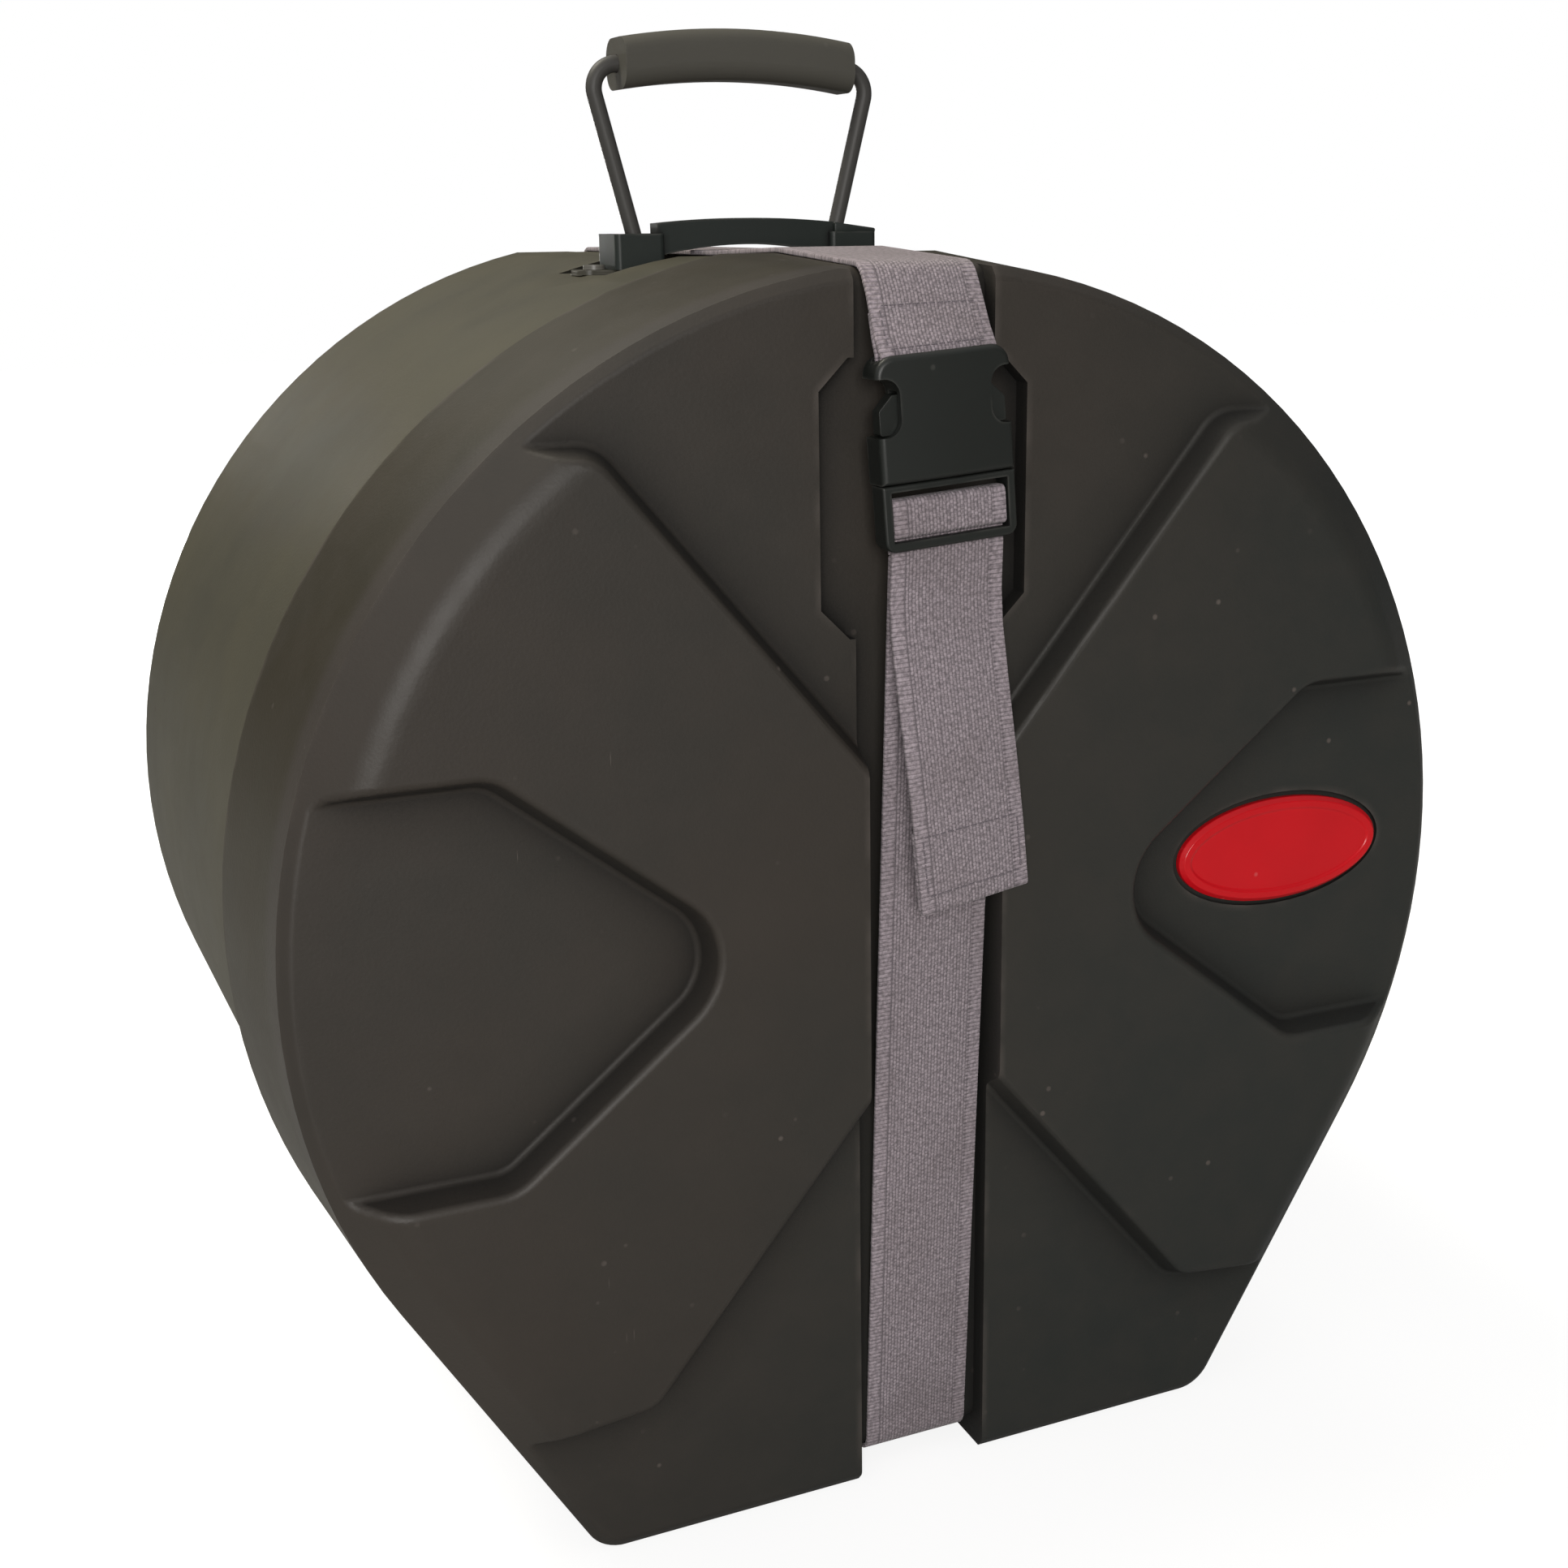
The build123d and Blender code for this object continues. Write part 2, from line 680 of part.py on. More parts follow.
# Plug: ladder frame for the webbing, and the guide between the prongs
frame_depth = frame_front - buckle_front
with BuildPart() as buckle_plug:
    with BuildSketch(hung_face(frame_depth + frame_thick)) as shape:
        with Locations((0, buckle_z + frame_height / 2)):
            Rectangle(buckle_width, frame_height)
        fillet(shape.vertices().group_by(Axis.Y)[0], frame_round)
    extrude(amount=frame_thick)
    fillet(buckle_plug.faces().sort_by(Axis.Y)[0].edges(), buckle_edge / 2)
    with BuildSketch(hung_face(frame_depth + frame_thick)):
        with Locations((0, buckle_z + (window_low + window_high) / 2)):
            Rectangle(window_width, window_high - window_low)
    extrude(amount=frame_thick, mode=Mode.SUBTRACT)
    with BuildSketch(hung_face(frame_depth + frame_thick)):
        with Locations((0, buckle_z)):
            Rectangle(window_width, 2 * window_high)
    extrude(amount=frame_thick - low_bar_thick, mode=Mode.SUBTRACT)
    with BuildSketch(hung_face(frame_depth + middle_bar_front + middle_bar_thick)):
        with Locations((0, buckle_z + middle_bar_low + middle_bar_height / 2)):
            Rectangle(window_width + near_enough, middle_bar_height)
    extrude(amount=middle_bar_thick)
    with BuildSketch(hung_level(buckle_z + frame_height)):
        with Locations((0, rim_y + mouth_depth)):
            Rectangle(guide_width, mouth_thick - 2 * buckle_gap)
    extrude(amount=guide_length)
    fillet(buckle_plug.faces().sort_by(Axis.Z)[-1].edges(), buckle_edge)

# Prongs that spring out into the socket's notches
prong_z = buckle_z + frame_height + buckle_gap
pad_z = socket_z + notch_lift + buckle_gap
with BuildPart() as right_prong:
    with BuildSketch(hung_face(mouth_depth + mouth_thick / 2 - buckle_gap)) as shape:
        with BuildLine():
            Polyline(
                (prong_inner, prong_z),
                (prong_inner + prong_width, prong_z),
                (prong_inner + prong_width, pad_z),
                (prong_reach, pad_z),
                (prong_reach, pad_z + pad_flat),
                (prong_inner + prong_tip, prong_z + prong_length),
                (prong_inner, prong_z + prong_length),
                close=True,
            )
        make_face()
        fillet(shape.vertices().group_by(Axis.X)[-1], buckle_edge / 2)
    extrude(amount=mouth_thick - 2 * buckle_gap)

with BuildPart() as left_prong:
    add(mirror(right_prong.part, about=Plane(hung_origin, z_dir=rightward)))

# Webbing, laid along the middle of its thickness
lay = web_gap + web_thick / 2
turn = bend_round + lay
top_run = flat_z + lay
foot_run = foot_groove - lay
front_run = channel_floor - lay
rear_run = rear_floor + lay
bar_run = pocket_front + pocket_thick / 2 - buckle_front
bar_side = bar_thick / 2 + lay
bar_low = buckle_top - pocket_deep + bar_lift - lay


def front_line(height):
    """Depth of the straight front run at a height."""
    return front_run + (main_depth - front_run) * (height - foot_run) / (buckle_z - foot_run)


def strap(points, rounds, side=Plane.YZ):
    """Webbing laid through points given by depth and height, on a plane seen from the side."""
    places = [(rim_y + depth, height) for depth, height in points]
    with BuildPart() as band:
        with BuildSketch(side):
            with BuildLine():
                if rounds:
                    FilletPolyline(*places, radius=rounds)
                else:
                    Line(*places)
            trace(line_width=web_thick)
        extrude(amount=web_width / 2, both=True)
    return band.part


tail_start = hung_origin + Vector(0, main_depth, 0) + upward * (buckle_z - web_thick)


def cut_across(origin, side, along):
    """Sketch of the webbing cut square across its run, on a plane with a sideways direction."""
    with BuildSketch(Plane(origin + Vector(0, rim_y, 0), x_dir=side, z_dir=along)) as cut:
        Rectangle(web_width, web_thick)
    return cut.sketch


with BuildPart() as strap_upper:
    crown_corner = Vector(0, front_run, crown_height(front_run) + lay)
    bar_front = Vector(0, bar_run - bar_side, buckle_top)
    leave, meet = [crown_corner + (bar_front - crown_corner) * share for share in slack_shares]
    skirt_end = (skirt_depth, crown_height(skirt_depth) + lay)
    add(strap([skirt_end, (crown_corner.Y, crown_corner.Z), (leave.Y, leave.Z)], turn))
    path = [
        (meet.Y, meet.Z),
        (bar_run - bar_side, buckle_top),
        (bar_run - bar_side, bar_low),
        (bar_run + bar_side, bar_low),
        (bar_run + bar_side, buckle_top),
        (fold_depth, buckle_top + fold_rise),
    ]
    add(strap(path, [web_bend, web_bend, web_bend, web_bend], hung_side))
    run = bar_front - crown_corner
    hung_meet = hung_origin + Vector(0, meet.Y, 0) + upward * meet.Z
    add(cut_across(leave, (1, 0, 0), run))
    add(cut_across(hung_meet, rightward, Vector(0, run.Y, 0) + upward * run.Z))
    loft()

with BuildPart() as strap_foot:
    add(strap([(front_line(strap_split), strap_split), (front_run, foot_run), (skirt_depth, foot_run)], turn))

with BuildPart() as strap_front:
    split_z = strap_split + web_gap
    ends = [Vector(0, front_line(split_z), split_z), tail_start - (web_gap * upward)]
    add(cut_across(ends[0], (1, 0, 0), ends[1] - ends[0]))
    add(cut_across(ends[1], rightward, upward))
    loft()

with BuildPart() as strap_rear:
    path = [(span_end, top_run), (rear_run, top_run), (rear_run, foot_run), (span_end, foot_run)]
    add(strap(path, turn))

with BuildPart() as web_span_top:
    add(strap([(skirt_depth + web_gap, crown_height(skirt_depth) + lay), (span_end - web_gap, top_run)], 0))

with BuildPart() as web_span_foot:
    add(strap([(skirt_depth + web_gap, foot_run), (span_end - web_gap, foot_run)], 0))

# Webbing threaded round the frame's bar, with the tail hanging skewed in front
with BuildPart() as strap_tail:
    path = [
        (main_depth, buckle_z - web_thick),
        (main_depth, buckle_z + threaded_top),
        (over_bar, buckle_z + threaded_top),
        (over_bar, buckle_z + threaded_low),
        (under_bar, buckle_z + threaded_low),
        (under_bar, buckle_z),
    ]
    add(strap(path, web_bend, hung_side))
    add(cut_across(hung_origin + Vector(0, under_bar, 0) + upward * buckle_z, rightward, upward))
    for drop, shift, depth, tilt, swing in tail_shape:
        with BuildSketch(Plane((shift, rim_y + depth, buckle_z - drop)).rotated((0, -tilt, swing))):
            Rectangle(web_width, web_thick)
    loft()

# Bare oval badge, glued into its recess
with BuildPart() as badge:
    with BuildSketch(at_depth(badge_sink - floor_rise - seat_gap)):
        with Locations((badge_x, badge_z)):
            Ellipse(badge_width / 2, badge_height / 2)
    extrude(amount=badge_thick)
    chamfer(badge.faces().sort_by(Axis.Y)[0].edges(), badge_bevel)

# Foam lining
with BuildPart() as lid_pad:
    with BuildSketch(at_depth(channel_floor + wall + foam_gap + lid_foam_thick)):
        add(dee(lid_radius - lid_foam_inset, foam_foot, foot_corner))
    extrude(amount=lid_foam_thick)

with BuildPart() as back_pad:
    with BuildSketch(at_depth(rear_floor - wall - foam_gap)):
        add(dee(base_radius - back_foam_inset, foam_foot + liner_thick, foot_corner))
    extrude(amount=back_foam_thick)

with BuildPart() as side_liner:
    with BuildSketch(at_depth(liner_back)):
        add(dee(foam_radius, foam_foot, foot_corner))
        add(dee(foam_radius - liner_thick, foam_foot + liner_thick, foot_corner), mode=Mode.SUBTRACT)
    extrude(amount=liner_back - liner_front)
    tool = slab(rivet_outer, 0, base_depth, seat_z - rivet_foot - rivet_dome - foam_gap, 2 * flat_z)
    add(tool, mode=Mode.SUBTRACT)

with BuildPart() as right_wedge:
    inside = liner_thick + foam_gap
    with BuildSketch(at_depth(liner_back)):
        add(dee(foam_radius - inside, foam_foot + inside, foot_corner))
        with Locations((0, centre_z)):
            Circle(lid_radius - drum_inset, mode=Mode.SUBTRACT)
        with Locations((0, centre_z - wedge_drop)):
            Rectangle(3 * base_radius, 3 * base_radius, align=(Align.CENTER, Align.MIN), mode=Mode.SUBTRACT)
        with Locations((wedge_half, 0)):
            Rectangle(3 * base_radius, 3 * base_radius, align=(Align.MAX, Align.CENTER), mode=Mode.SUBTRACT)
    extrude(amount=liner_back - liner_front)

with BuildPart() as left_wedge:
    add(mirror(right_wedge.part, about=Plane.YZ))

pieces = {
    "lid_shell": lid_shell,
    "lid_pad": lid_pad,
    "badge": badge,
    "strap_upper": strap_upper,
    "strap_foot": strap_foot,
    "strap_front": strap_front,
    "buckle_socket": buckle_socket,
    "buckle_plug": buckle_plug,
    "strap_tail": strap_tail,
    "left_prong": left_prong,
    "right_prong": right_prong,
    "base_shell": base_shell,
    "handle_bar": handle_bar,
    "left_anchor": left_anchor,
    "right_anchor": right_anchor,
    "left_backing": left_backing,
    "right_backing": right_backing,
    "handle_rivets": handle_rivets,
    "handle_bail": handle_bail,
    "handle_grip": handle_grip,
    "strap_rear": strap_rear,
    "web_span_top": web_span_top,
    "web_span_foot": web_span_foot,
    "back_pad": back_pad,
    "side_liner": side_liner,
    "left_wedge": left_wedge,
    "right_wedge": right_wedge,
}
for label, piece in pieces.items():
    piece.part.label = label
    export_step(piece.part, f"parts/{label}.step")
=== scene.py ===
"""Looks of the drum case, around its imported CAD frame.

Moulded shells, webbing, buckle, handle, badge and foam lining, on a white stage.
"""

from math import cos, pi, radians, sin, tan

import bmesh
import bpy
from bpy.props import FloatProperty, FloatVectorProperty
from bpy.types import Operator, Panel, PropertyGroup
from mathutils import Matrix, Vector
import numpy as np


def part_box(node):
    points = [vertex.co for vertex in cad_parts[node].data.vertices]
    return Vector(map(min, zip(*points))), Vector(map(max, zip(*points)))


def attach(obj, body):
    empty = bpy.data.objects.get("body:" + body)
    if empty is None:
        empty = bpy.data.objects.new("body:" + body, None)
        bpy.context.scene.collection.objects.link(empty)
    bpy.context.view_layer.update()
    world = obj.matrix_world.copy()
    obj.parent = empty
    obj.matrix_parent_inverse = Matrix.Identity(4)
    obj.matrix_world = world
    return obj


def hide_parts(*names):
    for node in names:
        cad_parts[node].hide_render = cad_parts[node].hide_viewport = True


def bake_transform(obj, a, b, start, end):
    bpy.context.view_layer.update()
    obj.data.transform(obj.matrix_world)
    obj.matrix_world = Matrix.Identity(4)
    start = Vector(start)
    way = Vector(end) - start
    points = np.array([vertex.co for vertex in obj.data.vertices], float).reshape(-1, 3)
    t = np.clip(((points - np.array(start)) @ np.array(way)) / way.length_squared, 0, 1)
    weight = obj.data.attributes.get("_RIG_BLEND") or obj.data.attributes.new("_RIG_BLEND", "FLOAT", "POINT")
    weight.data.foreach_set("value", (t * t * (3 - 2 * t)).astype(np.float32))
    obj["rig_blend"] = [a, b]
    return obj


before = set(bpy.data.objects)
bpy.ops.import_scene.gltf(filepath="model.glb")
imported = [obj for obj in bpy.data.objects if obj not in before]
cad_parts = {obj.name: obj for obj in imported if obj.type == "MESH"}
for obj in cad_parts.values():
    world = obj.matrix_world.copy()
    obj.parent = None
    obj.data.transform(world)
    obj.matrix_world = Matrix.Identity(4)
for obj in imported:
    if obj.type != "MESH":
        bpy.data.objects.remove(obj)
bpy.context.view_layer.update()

bl_info = {
    "name": "Drum Case",
    "version": (1, 0, 0),
    "blender": (4, 5, 0),
    "location": "View3D > Sidebar > Drum Case",
    "description": "Builds a moulded drum case with its webbing, buckle, handle and lining",
    "category": "Object",
}

MM = 0.001

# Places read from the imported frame
_, LID_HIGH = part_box("lid_shell")
SOCKET_LOW, SOCKET_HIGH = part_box("buckle_socket")
SKIRT_DEPTH = 66 * MM
RIM_Y = LID_HIGH.y - SKIRT_DEPTH

# Camera that fits the photograph, in pixels of its square picture
PHOTO_SIDE = 1932
FOCAL_LENGTH = 2497
CENTRE_ACROSS, CENTRE_DOWN = 1044.1, 1013.1
SENSOR_MM = 36


# Sizes and colours that a user would change


def colour(name, description, default):
    """Property for a colour."""
    return FloatVectorProperty(
        name=name, description=description, default=default, subtype="COLOR", size=3, min=0, max=1
    )


def length(name, description, default):
    """Property for a length in metres."""
    return FloatProperty(name=name, description=description, default=default, unit="LENGTH", precision=4)


def rotation(name, description, default):
    """Property for an angle in radians."""
    return FloatProperty(name=name, description=description, default=default, subtype="ANGLE")


def power(name, description, default):
    """Property for the power of a light in watts."""
    return FloatProperty(name=name, description=description, default=default, unit="POWER")


def factor(name, description, default):
    """Property for a plain factor."""
    return FloatProperty(name=name, description=description, default=default, subtype="FACTOR")


class ShellSettings(PropertyGroup):
    """Finish of the two moulded shells."""

    tone: colour("Shell colour", "Colour of the moulded plastic", (0.0345, 0.0285, 0.0235))
    # Painted shade: the shells turn darker and cooler towards the lower right; elsewhere this colour is a
    # little random drift
    lower_right_shade: colour("Cool colour", "Colour to which the plastic drifts at the right", (0.0205, 0.0225, 0.0205))
    faded: colour("Faded colour", "Colour of the base, more faded than the lid", (0.055, 0.0505, 0.032))
    skirt: colour("Skirt colour", "Colour of the lid's skirt, an olive one", (0.0225, 0.018, 0.0085))
    rubbed: colour("Rubbed colour", "Colour where edges are rubbed pale", (0.085, 0.072, 0.064))
    grain: length("Grain", "Size of the moulded grain", 0.9 * MM)


class WebbingSettings(PropertyGroup):
    """Weave and colour of the strap."""

    tone: colour("Webbing colour", "Colour of the yarn", (0.292, 0.25, 0.275))
    # Painted shade between the yarns; the soil colour on the webbing is also drawn from it
    shade: colour("Weave shade", "Colour between the yarns", (0.075, 0.064, 0.072))
    thread: colour("Thread colour", "Colour of the sewing thread", (0.19, 0.165, 0.185))
    width: length("Width", "Width of the webbing", 38 * MM)
    thick: length("Thickness", "Thickness of the webbing", 1.6 * MM)
    yarn: length("Yarn", "Spacing of the yarns", 1.35 * MM)
    bend: length("Bend", "Radius to which the webbing bends round the case", 7 * MM)
    tight: length("Tight bend", "Radius to which the webbing bends round a bar", 1.1 * MM)
    stitch: length("Stitch", "Length of a stitch", 2.6 * MM)


class FittingSettings(PropertyGroup):
    """Colours of the buckle, the handle and the badge."""

    buckle: colour("Buckle colour", "Colour of the moulded buckle", (0.0118, 0.0136, 0.0122))
    bar: colour("Bar colour", "Colour of the moulded handle bar", (0.016, 0.0205, 0.0185))
    grip: colour("Grip colour", "Colour of the rubber grip", (0.072, 0.069, 0.059))
    wire: colour("Wire colour", "Colour of the coated wire", (0.052, 0.05, 0.047))
    steel: colour("Steel colour", "Colour of the olive painted strips", (0.046, 0.043, 0.032))
    rivet: colour("Rivet colour", "Colour of the rivets", (0.11, 0.105, 0.092))
    badge: colour("Badge colour", "Colour of the bare oval badge", (0.57, 0.0045, 0.01))
    foam: colour("Foam colour", "Colour of the foam lining", (0.03, 0.03, 0.033))


class StageSettings(PropertyGroup):
    """Camera and light."""

    place: FloatVectorProperty(
        name="Camera place",
        description="Where the camera stands",
        default=(-0.2781, RIM_Y - 0.5565, 0.4214),
        unit="LENGTH",
    )
    yaw: rotation("Yaw", "Turn of the camera to the right", 0.426)
    pitch: rotation("Pitch", "How far the camera looks down", 0.290)
    roll: rotation("Roll", "Tilt of the camera", -0.009)
    key: power("Key light", "Power of the light from the front left", 32.0)
    rim: power("Side light", "Power of the light from the upper left", 40.0)
    rear: power("Rear light", "Power of the light from behind", 24.0)
    sky: factor("Sky light", "Strength of the even light all round", 0.2)
    mirror: factor("Mirrored light", "Strength of the backdrop as the case mirrors it", 0.42)
    floor: factor("Floor glow", "Share of the floor's white that a shadow leaves", 0.8)


# Node helpers


def node(tree, kind, settings=None, inputs=None):
    """A node with its settings, and its inputs set or linked by name."""
    made = tree.nodes.new(kind)
    for key, value in (settings or {}).items():
        setattr(made, key, value)
    for key, value in (inputs or {}).items():
        feed(tree, made.inputs[key], value)
    return made


def feed(tree, socket, value):
    """Link a socket to another one, or set its value."""
    if isinstance(value, bpy.types.NodeSocket):
        tree.links.new(value, socket)
    else:
        socket.default_value = value


def math(tree, operation, first, second=0.0):
    """One arithmetic step."""
    return node(tree, "ShaderNodeMath", {"operation": operation}, {0: first, 1: second}).outputs[0]


def plus(tree, first, second):
    """Sum of two values."""
    return math(tree, "ADD", first, second)


def less(tree, first, second):
    """First value less the second."""
    return math(tree, "SUBTRACT", first, second)


def times(tree, first, second):
    """Product of two values."""
    return math(tree, "MULTIPLY", first, second)


def inverse(tree, value):
    """One less a value."""
    return less(tree, 1.0, value)


def humps(tree, value):
    """Row of rounded humps, one to each unit of a value."""
    return math(tree, "ABSOLUTE", math(tree, "SINE", times(tree, value, pi)))


def blend_colours(tree, share, first, second):
    """Mix of two colours by a share; each is a socket or three values."""
    mix = node(tree, "ShaderNodeMix", {"data_type": "RGBA"}, {"Factor": share})
    for place, value in ((6, first), (7, second)):
        feed(tree, mix.inputs[place], value if isinstance(value, bpy.types.NodeSocket) else (*value, 1))
    return mix.outputs[2]


def blend_values(tree, share, first, second):
    """Mix of two values by a share."""
    return node(tree, "ShaderNodeMix", inputs={0: share, 2: first, 3: second}).outputs[0]


def ramp(tree, value, low, high):
    """Value mapped smoothly from 0 at low to 1 at high."""
    inputs = {"Value": value, "From Min": low, "From Max": high}
    return node(tree, "ShaderNodeMapRange", {"interpolation_type": "SMOOTHSTEP"}, inputs).outputs[0]


def noise(tree, where, scale, detail=2.0, roughness=0.5):
    """Noise value at a coordinate."""
    inputs = {"Vector": where, "Scale": scale, "Detail": detail, "Roughness": roughness}
    return node(tree, "ShaderNodeTexNoise", inputs=inputs).outputs[0]


def cells(tree, where, scale):
    """Distance of a coordinate from the nearest of many scattered points."""
    return node(tree, "ShaderNodeTexVoronoi", inputs={"Vector": where, "Scale": scale}).outputs["Distance"]


def parts(tree, where):
    """The three values of a coordinate."""
    return node(tree, "ShaderNodeSeparateXYZ", inputs={0: where}).outputs


def shade(tree, distance, inside=False):
    """One on an open face, falling towards hollows, or towards corners where it looks inside."""
    settings = {"samples": 4, "only_local": True, "inside": inside}
    return node(tree, "ShaderNodeAmbientOcclusion", settings, {"Distance": distance}).outputs["AO"]


def new_group(name, inputs, outputs):
    """Empty shader group with named sockets; returns the group, its input node and its output node."""
    group = bpy.data.node_groups.new(name, "ShaderNodeTree")
    for label, kind, default in inputs:
        socket = group.interface.new_socket(label, in_out="INPUT", socket_type=kind)
        if default is not None:
            socket.default_value = default
    for label, kind in outputs:
        group.interface.new_socket(label, in_out="OUTPUT", socket_type=kind)
    return group, group.nodes.new("NodeGroupInput"), group.nodes.new("NodeGroupOutput")


def moulded_grain():
    """Fine pebbled grain of moulded plastic, with slow unevenness of its colour."""
    group, given, result = new_group(
        "Moulded grain",
        [("Place", "NodeSocketVector", None), ("Grain", "NodeSocketFloat", 1000.0)],
        [("Height", "NodeSocketFloat"), ("Cloud", "NodeSocketFloat")],
    )
    place, grain = given.outputs[0], given.outputs[1]
    fine = noise(group, place, grain, 3.0, 0.6)
    pebbles = times(group, cells(group, place, times(group, grain, 0.7)), 0.6)
    feed(group, result.inputs["Height"], plus(group, pebbles, fine))
    feed(group, result.inputs["Cloud"], noise(group, place, 9.0, 4.0, 0.6))
    return group


def handling_marks():
    """Specks and short scratches left by use, as a mask."""
    group, given, result = new_group(
        "Handling marks",
        [("Place", "NodeSocketVector", None), ("Amount", "NodeSocketFloat", 1.0)],
        [("Mask", "NodeSocketFloat")],
    )
    place, amount = given.outputs[0], given.outputs[1]
    speck = inverse(group, ramp(group, cells(group, place, 90.0), 0.05, 0.11))
    speck = times(group, speck, ramp(group, noise(group, place, 22.0), 0.52, 0.64))
    inputs = {"Vector": place, "Rotation": (0.3, 0.5, 0.4), "Scale": (1.0, 1.0, 0.07)}
    stretched = node(group, "ShaderNodeMapping", inputs=inputs).outputs[0]
    scratch = inverse(group, ramp(group, cells(group, stretched, 240.0), 0.02, 0.05))
    scratch = times(group, scratch, ramp(group, noise(group, place, 14.0), 0.6, 0.7))
    feed(group, result.inputs["Mask"], times(group, math(group, "MAXIMUM", speck, scratch), amount))
    return group


# Ribs to each yarn's width, and the share of the half width where the crosswise ribbing starts
RIBS_PER_YARN = 1.15
SELVEDGE = 0.77


def webbing_weave():
    """Ribbed weave on a map that runs across and along a strap in metres; its edges are ribbed crosswise."""
    group, given, result = new_group(
        "Webbing weave",
        [
            ("Place", "NodeSocketVector", None),
            ("Yarn", "NodeSocketFloat", 1.35 * MM),
            ("Half", "NodeSocketFloat", 19 * MM),
        ],
        [("Height", "NodeSocketFloat"), ("GapShade", "NodeSocketFloat"), ("Fuzz", "NodeSocketFloat")],
    )
    place, yarn, half = given.outputs[0], given.outputs[1], given.outputs[2]
    uneven = times(group, noise(group, place, 160.0), 0.35)
    aside, onward, _ = parts(group, place)
    across = times(group, plus(group, math(group, "DIVIDE", aside, yarn), uneven), RIBS_PER_YARN)
    along = plus(group, math(group, "DIVIDE", onward, yarn), uneven)
    staggered = plus(group, along, times(group, math(group, "FLOOR", across), 0.5))
    rib = math(group, "POWER", humps(group, across), 0.5)
    ground = times(group, rib, plus(group, times(group, humps(group, staggered), 0.6), 0.4))
    ridge = math(group, "POWER", humps(group, along), 0.7)
    ridge = plus(group, times(group, ridge, 0.8), 0.2)
    out = math(group, "DIVIDE", math(group, "ABSOLUTE", aside), half)
    edge = ramp(group, out, SELVEDGE - 0.03, SELVEDGE + 0.03)
    beside = math(group, "ABSOLUTE", less(group, out, SELVEDGE))
    furrow = times(group, inverse(group, ramp(group, beside, 0.0, 0.04)), 0.35)
    height = less(group, blend_values(group, edge, ground, ridge), furrow)
    feed(group, result.inputs["Height"], height)
    # Mask for painted shade between the yarns, where the weave is low
    feed(group, result.inputs["GapShade"], inverse(group, ramp(group, height, 0.05, 0.8)))
    feed(group, result.inputs["Fuzz"], noise(group, place, 700.0, 3.0, 0.7))
    return group


def use(tree, group, **inputs):
    """A group placed in a tree, its inputs set by name."""
    placed = tree.nodes.new("ShaderNodeGroup")
    placed.node_tree = group
    for key, value in inputs.items():
        feed(tree, placed.inputs[key], value)
    return placed


def new_material(name, roughness, specular):
    """Material with a principled shader; returns it, its tree, its shader and its object coordinates."""
    made = bpy.data.materials.new(name)
    made.use_nodes = True
    tree = made.node_tree
    shader = next(n for n in tree.nodes if n.type == "BSDF_PRINCIPLED")
    shader.inputs["Roughness"].default_value = roughness
    shader.inputs["Specular IOR Level"].default_value = specular
    place = tree.nodes.new("ShaderNodeTexCoord").outputs["Object"]
    return made, tree, shader, place


def bump(tree, shader, height, strength, distance):
    """Bump from a height, as the shader's normal."""
    inputs = {"Height": height, "Strength": strength, "Distance": distance}
    feed(tree, shader.inputs["Normal"], node(tree, "ShaderNodeBump", inputs=inputs).outputs[0])


def darker(tone, share):
    """A colour with its brightness multiplied."""
    return [value * share for value in tone]


def moulded_material(
    name,
    tone,
    drift_and_shade,
    rubbed,
    grain,
    groups,
    roughness=0.5,
    marks=1.0,
    depth=0.12 * MM,
    specular=0.3,
    mottling=0.2,
    painted_shade_reach=24 * MM,
    corner_reach=2.6 * MM,
    painted_light_and_shade=False,
    skirt=None,
):
    """Moulded plastic with grain, mottled gloss, rubbed corners, handling marks and painted shade in its
    hollows; where asked, also painted light at the upper left and painted shade at the lower right.
    """
    made, tree, shader, place = new_material(name, roughness, specular)
    grained = use(tree, groups["grain"], Place=place, Grain=1 / grain)
    worn = use(tree, groups["marks"], Place=place, Amount=marks).outputs[0]

    corner = ramp(tree, inverse(tree, shade(tree, corner_reach, inside=True)), 0.06, 0.4)
    patchy = ramp(tree, noise(tree, place, 60.0, 3.0), 0.35, 0.7)
    rubbing = math(tree, "MAXIMUM", times(tree, times(tree, corner, patchy), 0.55), worn)
    mottle = ramp(tree, noise(tree, place, 45.0, 4.0, 0.65), 0.3, 0.7)
    # Painted shade: mask that falls from one on open faces to nothing in hollows, as far as the painted
    # shade reaches
    outside_painted_shade = ramp(tree, shade(tree, painted_shade_reach), 0.6, 0.99)

    cloud = ramp(tree, grained.outputs["Cloud"], 0.3, 0.7)
    # Painted light and shade: the random cloud leans to the own tone at the upper left and to the darker
    # cool colour at the lower right
    if painted_light_and_shade:
        cloud = times(tree, plus(tree, times(tree, cloud, 0.4), 0.6), painted_light_share(tree, place))
    base = blend_colours(tree, cloud, drift_and_shade, with_skirt(tree, place, tone, skirt))
    base = blend_colours(tree, times(tree, mottle, mottling), base, darker(tone, 1.2))
    base = blend_colours(tree, rubbing, base, rubbed)
    # Painted shade: hollows turn nearly black, and rougher below
    base = blend_colours(tree, outside_painted_shade, darker(tone, 0.08), base)
    feed(tree, shader.inputs["Base Color"], base)

    gloss = plus(tree, times(tree, mottle, mottling * 0.2), roughness - mottling * 0.1)
    gloss = plus(tree, gloss, times(tree, inverse(tree, outside_painted_shade), 0.4))
    feed(tree, shader.inputs["Roughness"], plus(tree, gloss, times(tree, rubbing, 0.2)))
    bump(tree, shader, grained.outputs["Height"], 0.35, depth)
    return made


